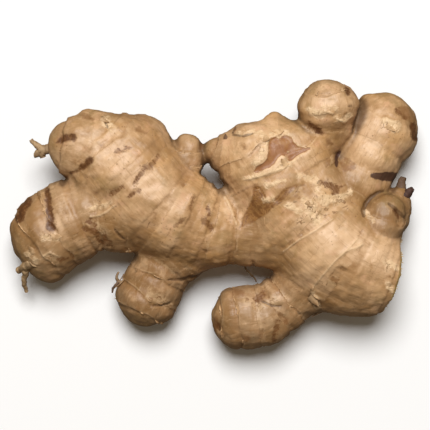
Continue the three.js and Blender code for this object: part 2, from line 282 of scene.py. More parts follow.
def flesh_field():
    """The field on a grid of cells: negative in the flesh, and zero at the skin."""
    boxes = [(f["spine"][0][:, :3] - f["spine"][0][:, 3:]).min(0) for f in FINGERS]
    tops = [(f["spine"][0][:, :3] + f["spine"][0][:, 3:]).max(0) for f in FINGERS]
    start = np.min(boxes, axis=0) - MARGIN
    counts = np.ceil((np.max(tops, axis=0) + MARGIN - start) / CELL).astype(int) + 1
    axes = [start[i] + CELL * np.arange(counts[i]) for i in range(3)]
    values = np.full(counts, FAR)

    def inside_box(low, high):
        window = tuple(slice(*np.searchsorted(axes[i], (low[i], high[i]))) for i in range(3))
        grid = np.meshgrid(*[axes[i][window[i]] for i in range(3)], indexing="ij")
        return window, np.stack(grid, -1).reshape(-1, 3)

    for finger, low, high in zip(FINGERS, boxes, tops):
        margin = finger["blend"] + MARGIN
        window, places = inside_box(low - margin, high + margin)
        own, along, _ = along_finger(finger, places)
        own -= swelling(finger["rings"], along)
        if finger["name"] in BROKEN:
            own = -smooth_min(-own, -past_break(places), BREAK_ROUNDING)
        shape = values[window].shape
        values[window] = smooth_min(values[window], own.reshape(shape), finger["blend"])
    for one, other, radius, blend in HOLLOWS:
        one, other = np.array(one, float), np.array(other, float)
        reach = radius + blend + 2
        window, places = inside_box(np.minimum(one, other) - reach, np.maximum(one, other) + reach)
        rod = other - one
        t = np.clip((places - one) @ rod / (rod @ rod), 0, 1)
        away = np.linalg.norm(places - one - t[:, None] * rod, axis=1) - radius
        away = away.reshape(values[window].shape)
        values[window] = -smooth_min(-values[window], away, blend)
    x, y, z = np.meshgrid(*axes, indexing="ij", sparse=True)
    for wave_x, wave_y, wave_z, phase in LUMP_WAVES:
        ripple = np.sin(wave_x * x + wave_y * y + wave_z * z + phase)
        values -= LUMP_HEIGHT / len(LUMP_WAVES) * 2 * ripple
    return start, values


def fill_pinches(values):
    """Fills the corner between flesh that meets only across the diagonal of a cell's face."""
    found = True
    while found:
        found = False
        for axis in range(3):
            u, v = (np.eye(3, dtype=int)[(axis + turn) % 3] for turn in (1, 2))
            ends = np.array(values.shape) - u - v
            corners = [0 * u, u, u + v, v]
            faces = [values[tuple(slice(c[i], c[i] + ends[i]) for i in range(3))] for c in corners]
            solid = [face < 0 for face in faces]
            pinched = (solid[0] == solid[2]) & (solid[1] == solid[3]) & (solid[0] != solid[1])
            for here in np.argwhere(pinched):
                outer = corners[1::2] if values[tuple(here)] < 0 else corners[0::2]
                spots = [tuple(here + corner) for corner in outer]
                values[min(spots, key=lambda spot: values[spot])] = -FILL_DEPTH * CELL
                found = True


def surface_net(values):
    """One vertex in each cell that the skin passes through, and a quad across each crossed edge."""
    corners = list(itertools.product((0, 1), repeat=3))
    shape = np.array(values.shape) - 1
    solid = values < 0
    windows = [tuple(slice(c[i], c[i] + shape[i]) for i in range(3)) for c in corners]
    count = sum(solid[window].astype(int) for window in windows)
    cells = np.argwhere((count > 0) & (count < 8))
    at = {c: values[tuple((cells + c).T)] for c in corners}
    middle = np.zeros((len(cells), 3))
    crossings = np.zeros(len(cells))
    for a in corners:
        for axis in range(3):
            if a[axis]:
                continue
            b = tuple(1 if i == axis else a[i] for i in range(3))
            crossed = (at[a] < 0) != (at[b] < 0)
            t = np.where(crossed, at[a] / np.where(crossed, at[a] - at[b], 1), 0)
            middle += crossed[:, None] * (np.array(a) + t[:, None] * np.subtract(b, a))
            crossings += crossed
    vertices = cells + middle / crossings[:, None]
    number = np.full(shape, -1)
    number[tuple(cells.T)] = np.arange(len(cells))
    quads = []
    for axis in range(3):
        e = np.eye(3, dtype=int)[axis]
        u = np.eye(3, dtype=int)[(axis + 1) % 3]
        v = np.eye(3, dtype=int)[(axis + 2) % 3]
        near = tuple(slice(0, values.shape[i] - e[i]) for i in range(3))
        far = tuple(slice(e[i], None) for i in range(3))
        nodes = np.argwhere(solid[near] != solid[far])
        around = np.stack([number[tuple((nodes - back).T)] for back in (0 * u, u, u + v, v)], 1)
        inwards = ~solid[tuple(nodes.T)]
        around[inwards] = around[inwards][:, ::-1]
        quads.append(around)
    return vertices, np.vstack(quads)


def sample(grid, spots):
    """A grid's value at places given in cells, straight between its nodes."""
    low = np.clip(spots.astype(int), 0, np.array(grid.shape) - 2)
    part = spots - low
    total = np.zeros(len(spots))
    for corner in itertools.product((0, 1), repeat=3):
        weight = np.prod(np.where(corner, part, 1 - part), axis=1)
        total += weight * grid[tuple((low + corner).T)]
    return total


def relax(vertices, quads, values, rounds=5):
    """Evens the net out along the skin, and brings each vertex back onto it."""
    ends = np.vstack([quads[:, [i, (i + 1) % 4]] for i in range(4)])
    near = np.bincount(ends.ravel(), minlength=len(vertices))
    slopes = np.gradient(values)
    for _ in range(rounds):
        total = np.zeros_like(vertices)
        for i in range(3):
            total[:, i] = np.bincount(ends[:, 0], vertices[ends[:, 1], i], len(vertices))
            total[:, i] += np.bincount(ends[:, 1], vertices[ends[:, 0], i], len(vertices))
        vertices = 0.5 * (vertices + total / near[:, None])
        gradient = np.stack([sample(slope, vertices) for slope in slopes], 1)
        squared = np.maximum((gradient**2).sum(1), (FLATTEST * CELL) ** 2)
        vertices = vertices - (sample(values, vertices) / squared)[:, None] * gradient
    gradient = np.stack([sample(slope, vertices) for slope in slopes], 1)
    return vertices, gradient / np.linalg.norm(gradient, axis=1)[:, None]


for finger in FINGERS:
    finger["spine"] = spine_of(finger["stations"])
net_start, field = flesh_field()
fill_pinches(field)
net, net_quads = surface_net(field)
net, normals = relax(net, net_quads, field)
places = net_start + CELL * net
places[:, 2] = np.maximum(places[:, 2], TABLE)


# The marks on the skin. Scars, stains, torn paper skin and cracks are worked into the flesh as
# measures on its mesh: the seen side carries those of this root, and the hidden sides get others
# like them. Each was read off the photo, as a stroke of x, y and half width in its pixels.

STROKES_IN_PHOTO = {
    "bruise": (
        ((318, 131, 1.6), (322, 134, 1.4)),
        ((58, 141, 2.6), (66, 138, 4), (73, 137, 3.4)),
        ((71, 173, 1.4), (79, 170, 2.2), (85, 165, 3.2), (91, 160, 3)),
        ((47, 190, 2.6), (48.5, 204, 2.6), (50, 216, 3.6), (51, 227, 4.2)),
        ((29, 200, 3), (22, 210, 4.4), (19, 219, 4)),
        ((413, 126, 3), (415, 138, 3)),
        ((396, 211, 2.2), (399, 216, 1.6)),
        ((346, 89, 1.6), (348, 93, 2.2)),
        ((349, 106, 1.3),),
    ),
    "stain": (
        ((321, 181, 2.2), (327, 184, 3)),
        ((332, 186, 2.4), (338, 190, 4)),
        ((333, 193, 1.6), (343, 186, 1.6)),
        ((118, 151, 2.2), (128, 148, 2)),
        ((134, 184, 1.6), (141, 173, 2.2)),
        ((142, 172, 2.6), (147, 168, 3.4), (151, 165, 2)),
        ((154, 162, 1.8), (158, 156, 1.8)),
        ((113, 193, 2.4), (123, 187, 2.6)),
        ((131, 194, 3.4), (139, 191, 2)),
        ((176, 225, 2.2), (183, 220, 3)),
        ((205, 222, 3.6), (211, 228, 3)),
        ((207, 205, 1.2), (209, 216, 1.6)),
        ((194, 196, 1.2), (190, 210, 1.2)),
        ((201, 139, 1.6), (201, 148, 1.6)),
        ((309, 124, 3), (318, 130, 3)),
        ((104, 239, 3), (112, 247, 2)),
        ((262, 294, 4), (258, 299, 3)),
        ((277, 322, 2.6), (274, 340, 2)),
        ((219, 326, 4),),
        ((90, 221, 3), (97, 232, 3)),
        ((60, 260, 2), (70, 258, 2)),
        ((96, 238, 2), (100, 242, 2.4), (109, 243, 1.6)),
        ((85, 228, 2), (92, 233, 2.4)),
        ((398, 111, 3), (405, 117, 3)),
    ),
    "tan": (
        ((400, 110, 4), (412, 119, 4.4)),
        ((346, 160, 2), (352, 166, 3)),
        ((236, 292, 4.2), (242, 293, 3)),
        ((286, 321, 2.8),),
        ((246.7, 338, 3.4),),
        ((137.5, 309, 2.2),),
        ((213, 330, 3), (216, 318, 2)),
        ((405, 110, 3.4), (411, 116, 3)),
        ((322, 181, 2.6), (328, 183, 3)),
        ((333, 187, 3), (338, 189, 3.6), (338, 193, 2.4)),
        ((310, 124, 2), (316, 130, 3)),
        ((262, 301, 4),),
        ((138, 129, 3), (146, 133, 2)),
        ((84, 116, 2.6), (92, 119, 2)),
        ((241, 145, 1.6), (245, 148, 2)),
        ((258, 150, 1.6), (263, 151, 1.2)),
        ((328, 141, 2), (332, 144, 1.4)),
        ((342, 163, 3), (346, 168, 3.4)),
    ),
    "scorched": (
        (
            (271.3, 205, 3), (280, 198.8, 3.6), (286.3, 191.3, 3.2), (295, 186.9, 2),
            (303.8, 185.3, 1),
        ),
    ),
    "torn": (
        ((336, 121, 2.4), (348, 114, 3)),
        ((322, 108, 2), (335, 109, 2.4)),
        ((262, 160, 2), (254, 164, 2)),
        ((300, 176, 3), (316, 180, 4)),
        ((318, 190, 3), (326, 202, 4)),
        ((288, 206, 3), (300, 212, 3)),
        ((366, 212, 2), (374, 222, 2)),
        ((262, 137, 3), (266, 146, 3)),
        ((256, 134, 1.4), (261, 131, 1.8)),
        ((271, 134, 2.4), (283, 131.5, 2.6), (288, 133.5, 1.6)),
        ((266, 143, 2.2), (262, 147, 3), (262, 153, 2.4)),
        ((286, 160, 2.4), (281, 165, 3)),
        ((243, 180, 1.2), (258, 176, 1.6), (272, 171, 2), (290, 164, 2.4), (299, 158, 1.2)),
        ((264, 201, 2.4), (272, 198, 2)),
        ((266, 186, 2.2), (284, 180, 2.6)),
        ((321, 196, 4), (334, 200, 5), (350, 193, 3)),
        ((303, 198, 3), (312, 209, 6), (318, 222, 4)),
        ((44, 238, 2.6), (57, 236, 3.6)),
        ((28, 254, 3), (36, 262, 3)),
        ((309, 110, 3.4), (322, 116, 4)),
        ((386, 122, 4), (395, 127, 6)),
        ((386, 262, 3.4), (398, 268, 3)),
        ((388, 285, 3), (396, 295, 3)),
        ((312, 292, 2), (317, 306, 3)),
        ((240, 134, 3), (252, 131, 3)),
        ((105, 120, 4), (112, 128, 3)),
        ((92, 208, 2), (100, 206, 2.4), (110, 203, 1.6)),
    ),
    "curl": (
        ((322, 205, 4), (334, 212, 3)),
        ((256, 143, 2), (262, 150, 2)),
        ((300, 188, 3), (292, 194, 2)),
        ((42, 236, 3), (58, 238, 4)),
        ((44, 256, 2.4), (58, 258, 3)),
        ((299, 222, 3), (310, 216, 5), (324, 212, 4)),
        ((310, 207, 4.4), (315, 199, 3.4)),
        ((322, 184, 4), (330, 183, 3)),
        ((308, 127, 2), (318, 131, 3.6)),
        ((90, 222, 4), (104, 231, 4)),
        ((388, 262, 2.4), (386, 270, 2)),
        ((236, 212, 1.6),),
        ((340, 201, 4), (346, 208, 3)),
        ((150, 296, 4), (164, 300, 4)),
        ((246, 300, 4), (262, 306, 4), (275, 300, 3)),
        ((384, 126, 4),),
    ),
    # dark dried scales, partly painted shadow of the crevices they sit in; the last stroke is
    # painted shadow only, carrying the crevice between the round finger and the upper right finger
    # further down
    "scale": (
        ((373, 175.5, 2.4), (384, 177, 4.2), (394, 177, 4.6)),
        ((408, 188, 2), (412, 190, 2)),
        ((340, 152, 1.2), (335.5, 158, 2.4), (336, 166, 1.2)),
    ),
    # cracks drawn dark, partly real cracks and partly painted shade in creases; the last two are
    # painted shadow in the recess round the front right nub
    "crack": (
        ((102, 116, 0.8), (105, 122, 1), (108, 128, 0.7)),
        ((115, 230, 0.7), (119, 235, 1.2), (124, 239, 0.7)),
        ((168, 280, 0.7), (182, 280, 1.2), (198, 276, 1.2), (212, 270, 1)),
        ((150, 305, 0.8), (160, 305.5, 1), (170, 303, 0.8)),
        ((262, 301, 0.7), (272, 306, 1), (281, 306, 0.7)),
        ((253, 262, 0.8), (254, 278, 0.6)),
        ((232, 134, 0.8), (243, 136, 1), (252, 133, 0.8)),
        ((311, 290, 0.6), (309, 300, 0.8), (316, 306, 0.7)),
        (
            (364.3, 215.7, 1.4), (363, 210, 1.9), (365.7, 203.6, 1.7), (371.4, 197.3, 1.4),
            (378.6, 192.4, 1), (384.3, 190.9, 0.7),
        ),
        ((388.6, 203.5, 1), (395.7, 208.3, 2), (401.4, 213.8, 1.8), (404.3, 218, 0.9)),
    ),
    "ridge": (
        (
            (357, 239, 0.49), (347, 250, 0.73), (334, 261.5, 0.61), (327, 270, 0.73),
            (316, 283, 0.61), (310, 293, 0.37),
        ),
        ((333, 219, 0.49), (314, 231, 0.73), (298.6, 240, 0.73), (283, 251.5, 0.49)),
        ((224.5, 197, 0.8), (231, 209, 1.1), (236.5, 224, 0.8)),
        ((344, 252, 0.5), (363, 244, 0.7), (354, 250, 0.4)),
        ((324, 111, 0.8), (333, 114, 1)),
        ((337, 119, 0.8), (344, 122, 1), (352, 116, 0.8)),
        ((248, 179, 0.6), (262, 175.5, 0.9), (278, 170.5, 0.9), (290, 165, 0.7)),
        ((43, 256, 0.6), (50, 252, 0.8), (58, 256, 0.5)),
        ((386, 118, 0.7), (391, 122, 0.9), (398, 121, 0.6)),
        ((90, 217, 0.7), (100, 215, 0.9), (107, 211.5, 0.9), (115, 205, 0.6)),
    ),
    # zones painted browner: partly browner skin, partly painted shade along lower edges and in
    # folds
    "browned_and_shade": (
        ((138, 285, 9), (148, 304, 12)),
        ((30, 215, 8), (34, 250, 9)),
        ((50, 262, 8), (70, 256, 8)),
        ((378, 212, 7), (392, 220, 7)),
        ((232, 300, 5), (228, 325, 6), (240, 342, 5)),
        ((268, 338, 6), (290, 326, 6)),
        ((403, 112, 5), (412, 125, 5)),
        ((396, 180, 4), (412, 200, 6)),
        ((330, 150, 8), (338, 172, 11), (356, 180, 10)),
        ((395, 185, 6), (409, 212, 7)),
        ((360, 215, 6), (372, 226, 5)),
        ((84, 230, 8), (108, 228, 15), (135, 240, 13), (160, 257, 9), (190, 262, 8)),
        ((226, 262, 9), (250, 238, 14), (258, 216, 9)),
        ((268, 258, 12), (290, 262, 9)),
        ((300, 300, 9), (330, 302, 10), (362, 300, 8)),
        ((336, 170, 8), (352, 186, 10), (364, 202, 9), (388, 194, 9)),
        ((20, 205, 5), (13, 235, 6), (24, 262, 6)),
        ((60, 122, 5), (54, 145, 5)),
        ((115, 116, 5), (150, 120, 5)),
        ((120, 280, 8), (150, 280, 7)),
        ((134, 140, 0), (160, 150, 4)),
        ((334, 130, 7), (340, 145, 7)),
        ((178, 148, 8), (186, 170, 6)),
    ),
    # zones painted paler: partly pale skin, partly painted highlight where the tops of the bodies
    # face the light
    "pale_and_highlight": (
        ((90, 142, 11), (116, 163, 14), (148, 186, 11), (170, 196, 11)),
        ((302, 222, 10), (345, 238, 14), (386, 260, 14)),
        ((262, 150, 8), (300, 158, 9)),
        ((322, 104, 10),),
        ((372, 124, 14), (366, 146, 8)),
        ((60, 222, 9),),
    ),
}

# Outlines of the two large patches: raw flesh where a piece broke off, and a scorched one
OUTLINES_IN_PHOTO = {
    "raw": (
        (270.6, 138.6), (276.3, 137.8), (279.4, 138.8), (281.9, 136.3), (285.6, 135.3),
        (291.3, 137.3), (292.5, 141.3), (295, 143.5), (298.8, 146.3), (303.8, 147.6), (310, 148.8),
        (305, 151.3), (300, 154), (295, 156.9), (291.3, 161.3), (287.8, 160.8), (284.4, 155.8),
        (281.3, 155), (278.1, 158.1), (275, 163.1), (270, 167.5), (263.1, 169.4), (259.4, 173.1),
        (253.8, 172.4), (256.9, 166.8), (263.1, 163.1), (267.5, 158.1), (269, 151.3), (267.5, 145),
    ),
    "scorched": (
        (252.3, 187.3), (256.9, 186.3), (261.9, 188.5), (265.3, 194.4), (267, 201.5),
        (273.8, 206.5), (268.8, 211.9), (261.9, 216.9), (253.8, 221.9), (245, 225.6),
        (238.8, 228.8), (243.1, 218.1), (246.9, 208.1), (252.3, 198.1),
    ),
}

# The photo's middle in its pixels, and how much of the root one pixel shows
PHOTO_MIDDLE_X = 214.5
PHOTO_MIDDLE_Y = 215
MM_PER_PIXEL = 0.41


def on_root(x, y):
    """A place in the photo, as millimetres from the middle of the root seen from above."""
    right = (x - PHOTO_MIDDLE_X) * MM_PER_PIXEL
    up = (PHOTO_MIDDLE_Y - y) * MM_PER_PIXEL
    return round(right, 1), round(up, 1)


def stroke_on_root(stroke):
    """The same for the points of a stroke, each with its half width."""
    return [(*on_root(x, y), round(width * MM_PER_PIXEL, 2)) for x, y, width in stroke]


MARKS = {
    kind: [stroke_on_root(stroke) for stroke in strokes]
    for kind, strokes in STROKES_IN_PHOTO.items()
}
OUTLINES = {
    kind: [on_root(x, y) for x, y in outline] for kind, outline in OUTLINES_IN_PHOTO.items()
}

# The height of the eye above the table, the height that the strokes were laid out at, how far
# off a stroke is felt, and how steep the skin may be that it marks, or that counts as hidden
EYE_HEIGHT = 700.0
MARK_PLANE = 18.0
STROKE_REACH = 14.0
SEEN_DOWN_TO = -0.05
HIDDEN_BELOW = -0.1

# How many strokes the hidden sides get of each kind, and how long and wide those are
HIDDEN_STROKES = {
    "bruise": 10, "stain": 26, "tan": 16, "torn": 22, "curl": 10, "crack": 16, "browned_and_shade": 9,
}
HIDDEN_LENGTH = (1.5, 7)
HIDDEN_WIDTH = (0.7, 2.2)
CRACK_LENGTH = (3, 9)
CRACK_WIDTH = 0.3
BROWNED_LENGTHENED = 2
BROWNED_WIDENED = 3

# How much duller and greyer the fingers beside the bodies are painted, partly their greyer skin and
# partly painted shade on the lower fingers, the buds at the gap and the back nub, and over what
# length that sets in
DUSK = {
    "lower left finger": 0.52,
    "upper left corner": 0.3,
    "lower middle finger": 1.0,
    "lower right finger": 0.72,
    "small bud at the gap": 0.4,
    "bud at the gap, right side": 0.45,
    "right nub, front": 0.75,
    "right nub, back": 0.8,
}
DUSK_FROM = 8.0

# How strong ring scars are drawn, and the fingers whose scars are fainter
SCAR_STRENGTH = (0.45, 1.0)
FAINT_RINGS = {"upper right finger": 0.4}

# How far the painted shade of a fold reaches, how far flesh nearby shelters the skin for the
# painted shade of hollows, how thick the rind is and how near the plane the skin is broken flesh,
# where a tip starts and how long it is, and how the pattern is drawn out along a finger
CREASE_REACH = 2.4
SHELTERS = {"cavity": 3.5, "shelter": 9.0}
RIND = 3.2
CUT_NEAR = 1.3
CUT_SOFT = 0.7
CUT_FAR = 1.5
CUT_INSIDE = 0.4
TIP_START = 0.3
TIP_LENGTH = 0.6
DRAWN_OUT = 0.16
FINGER_MEASURES = ("ring", "scar", "tone", "tip", "dusk")
rng = np.random.default_rng(4)


def stroke_distance(spots, stroke):
    """Distance to a tapering stroke, negative inside it."""
    best = np.full(len(spots), FAR)
    stroke = list(stroke) if len(stroke) > 1 else [stroke[0], stroke[0]]
    for a, b in zip(np.array(stroke, float), np.array(stroke[1:], float)):
        step = (b - a)[:-1]
        t = np.clip((spots - a[:-1]) @ step / max(step @ step, 1e-9), 0, 1)
        away = np.linalg.norm(spots - a[:-1] - t[:, None] * step, axis=1)
        best = np.minimum(best, away - (a[-1] + t * (b[-1] - a[-1])))
    return best


def outline_distance(spots, corners):
    """Distance to a closed outline, negative inside it."""
    best = np.full(len(spots), FAR)
    inside = np.zeros(len(spots), bool)
    x, y = spots.T
    corners = np.array(corners, float)
    for a, b in zip(corners, np.roll(corners, -1, axis=0)):
        step = b - a
        t = np.clip((spots - a) @ step / (step @ step), 0, 1)
        best = np.minimum(best, np.linalg.norm(spots - a - t[:, None] * step, axis=1))
        if step[1]:
            inside ^= ((a[1] > y) != (b[1] > y)) & (x < a[0] + step[0] * (y - a[1]) / step[1])
    return np.where(inside, -best, best)


def wander(spots):
    """How far the ring scars stray along the finger."""
    x, y, z = np.asarray(spots, float).T
    stray = 0.7 * np.sin(0.35 * x + 0.21 * y + 1.7)
    return stray + 0.5 * np.sin(0.41 * y - 0.23 * x + 0.3 * z)


def seen_from_above(spots):
    """Where the eye sees places in millimetres, on the plane of the strokes."""
    return spots[:, :2] * ((EYE_HEIGHT - MARK_PLANE) / (EYE_HEIGHT - spots[:, 2:]))


# What each finger's spine says about the skin around it
measures = {name: np.zeros(len(places)) for name in FINGER_MEASURES}
first = np.full(len(places), FAR)
second = np.full(len(places), FAR)
grain = np.zeros((len(places), 3))
growth = np.zeros((len(places), 3))
for finger in FINGERS:
    if finger["name"] in LOBES:
        continue
    beads, lengths = finger["spine"]
    away, along, across = along_finger(finger, places)
    nearer = away < first
    second = np.where(nearer, first, np.minimum(second, away))
    first = np.where(nearer, away, first)
    rings = np.array(finger["rings"], float)
    offsets = (along + wander(places))[:, None] - rings
    nearest = np.abs(offsets).argmin(1)
    strength = rng.uniform(*SCAR_STRENGTH, len(rings))
    tones = rng.uniform(0.0, 1.0, len(rings) + 1)
    end = beads[-1, 3]
    grows_to = beads[-1, :3] - beads[-4, :3]
    values = {
        "ring": offsets[np.arange(len(places)), nearest],
        "scar": strength[nearest] * FAINT_RINGS.get(finger["name"], 1.0),
        "tone": tones[(offsets > 0).sum(1)],
        "tip": np.clip((along - lengths[-1] - TIP_START * end) / (TIP_LENGTH * end), 0, 1),
        "dusk": DUSK.get(finger["name"], 0.0) * np.clip(along / DUSK_FROM, 0, 1),
    }
    if finger["name"] in BROKEN:
        values["tip"] *= 0
        body_depth = away
    for name, value in values.items():
        measures[name] = np.where(nearer, value, measures[name])
    grain[nearer] = np.stack([DRAWN_OUT * along, across, places[:, 2]], 1)[nearer] * MM
    growth[nearer] = grows_to / np.linalg.norm(grows_to)

# measures for painted shade: how near the skin lies to another finger, and how far nearby flesh
# closes over it
measures["crease"] = np.clip(1 - (second - np.minimum(first, 0)) / CREASE_REACH, 0, 1)
measures["scar"] *= 1 - measures["crease"]
for name, reach in SHELTERS.items():
    outside = sample(field, (places + reach * normals - net_start) / CELL)
    measures[name] = np.clip(1 - outside / reach, 0, 1)
# painted shade: how far the skin turns away from the top, so that the sides are painted darker
measures["flank"] = 1 - np.clip(normals[:, 2], 0, 1)
beyond = past_break(places)
cut_face = np.clip((beyond + CUT_NEAR) / CUT_SOFT, 0, 1)
cut_face = cut_face * (body_depth < CUT_INSIDE) * (beyond < CUT_FAR)
measures["flesh"] = cut_face * np.clip(normals @ BREAK_FACING * 2, 0, 1)
measures["rind"] = np.clip(body_depth + RIND, 0, RIND) / RIND

seen = seen_from_above(places)
upper = normals[:, 2] > SEEN_DOWN_TO
hidden = np.flatnonzero(normals[:, 2] < HIDDEN_BELOW)
for kind in [*MARKS, "raw"]:
    nearest = np.full(len(places), STROKE_REACH)
    for stroke in MARKS.get(kind, ()):
        nearest[upper] = np.minimum(nearest[upper], stroke_distance(seen[upper], stroke))
    if kind in OUTLINES:
        nearest[upper] = np.minimum(nearest[upper], outline_distance(seen[upper], OUTLINES[kind]))
    for start in rng.choice(hidden, HIDDEN_STROKES.get(kind, 0)):
        turn = np.cross(normals[start], growth[start]) + rng.normal(0, 0.25, 3)
        length = rng.uniform(*(CRACK_LENGTH if kind == "crack" else HIDDEN_LENGTH))
        width = CRACK_WIDTH if kind == "crack" else rng.uniform(*HIDDEN_WIDTH)
        if kind == "browned_and_shade":
            length *= BROWNED_LENGTHENED
            width *= BROWNED_WIDENED
        ends = [places[start] + side * length / 2 * turn for side in (-1, 1)]
        stroke = [(*ends[0], width * 0.5), (*places[start], width), (*ends[1], width * 0.6)]
        close = np.linalg.norm(places - places[start], axis=1) < length + width + STROKE_REACH
        nearest[close] = np.minimum(nearest[close], stroke_distance(places[close], stroke))
    measures[kind] = nearest

skin_mesh = bpy.data.meshes.new("ginger_skin")
skin_mesh.from_pydata(places * MM, [], net_quads.tolist())
skin_mesh.polygons.foreach_set("use_smooth", np.ones(len(net_quads), bool))
for name, values in measures.items():
    skin_mesh.attributes.new(name, "FLOAT", "POINT").data.foreach_set("value", values)
skin_mesh.attributes.new("grain", "FLOAT_VECTOR", "POINT").data.foreach_set("vector", grain.ravel())


# The finish of the skin: a thin, dry, satin paper over pale flesh, buff to tan, streaked along
# the finger, with a brown line at each ring scar, brown stains, cream torn edges, and painted shade
# in the folds, in hollows and on the sides. Where the root was broken off, the fibrous yellow flesh
# shows.


class Wire:
    """A socket of a node tree, whose sums and products add the maths nodes themselves."""

    def __init__(self, tree, socket=None):
        self.tree = tree
        self.socket = socket

    def node(self, kind, settings=None, sockets=None, out=0):
        made = self.tree.nodes.new(kind)
        for name, value in (settings or {}).items():
            setattr(made, name, value)
        for name, value in (sockets or {}).items():
            if isinstance(value, Wire):
                self.tree.links.new(value.socket, made.inputs[name])
            else:
                made.inputs[name].default_value = value
        return Wire(self.tree, made.outputs[out] if made.outputs else None)

    def maths(self, operation, first, second=0.0):
        return self.node("ShaderNodeMath", {"operation": operation}, {0: first, 1: second})

    def __add__(self, other):
        return self.maths("ADD", self, other)

    def __radd__(self, other):
        return self.maths("ADD", other, self)

    def __sub__(self, other):
        return self.maths("SUBTRACT", self, other)

    def __rsub__(self, other):
        return self.maths("SUBTRACT", other, self)

    def __mul__(self, other):
        return self.maths("MULTIPLY", self, other)

    def __rmul__(self, other):
        return self.maths("MULTIPLY", other, self)


def paint(red, green, blue):
    """A colour as it looks, from 0 to 255, turned into light."""
    shares = [value / 255 for value in (red, green, blue)]
    light = [s / 12.92 if s <= 0.04045 else ((s + 0.055) / 1.055) ** 2.4 for s in shares]
    return (*light, 1.0)


def fade(value, low, high):
    """0 at low and 1 at high, or the other way round, and smooth between."""
    reach = {"Value": value, "From Min": min(low, high), "From Max": max(low, high)}
    ends = {"To Min": 0.0, "To Max": 1.0} if low < high else {"To Min": 1.0, "To Max": 0.0}
    return value.node("ShaderNodeMapRange", {"interpolation_type": "SMOOTHSTEP"}, {**reach, **ends})


def line(value, middle, width):
    """1 where a value is at the middle, and 0 further off than the width."""
    return fade(value.maths("ABSOLUTE", value - middle), width, 0.0)


def grains(vector, size, detail=2.0, roughness=0.5, distortion=0.0):
    """Noise whose lumps are about a size in millimetres."""
    sockets = {"Vector": vector, "Scale": 1 / (size * MM), "Detail": detail}
    sockets.update({"Roughness": roughness, "Distortion": distortion})
    return vector.node("ShaderNodeTexNoise", {}, sockets)


def tint(mask, under, over):
    """One colour over another, as far as a mask says."""
    return mask.node("ShaderNodeMix", {"data_type": "RGBA"}, {0: mask, 6: under, 7: over}, out=2)


PALE = paint(228, 188, 144)
BUFF = paint(204, 162, 114)
TAN = paint(160, 116, 72)
GOLD = paint(190, 142, 84)
OLIVE = paint(148, 120, 74)
PINK = paint(218, 168, 130)
DUSKY = paint(140, 110, 78)
SCORCHED = paint(126, 82, 40)
STAIN = paint(116, 74, 36)
BRUISE = paint(84, 46, 20)
RAW = paint(154, 100, 60)
CREAM = paint(238, 204, 160)
PALE_AND_HIGHLIGHT_CREAM = paint(240, 202, 162)
BROWN_AND_SHADE = paint(130, 92, 46)
# brown for painted shade in folds and hollows, also the dark of cracks
SHADE_AND_CRACK_BROWN = paint(70, 44, 22)
PURPLE = paint(66, 38, 32)
FLESH = paint(224, 192, 122)
FIBRE = paint(186, 150, 84)


def torn_folds(place):
    """Winding edges of torn skin, which the finish paints and the relief raises."""
    return line(grains(place, 4.2, 3.0, 0.5, 1.6), 0.5, 0.1)


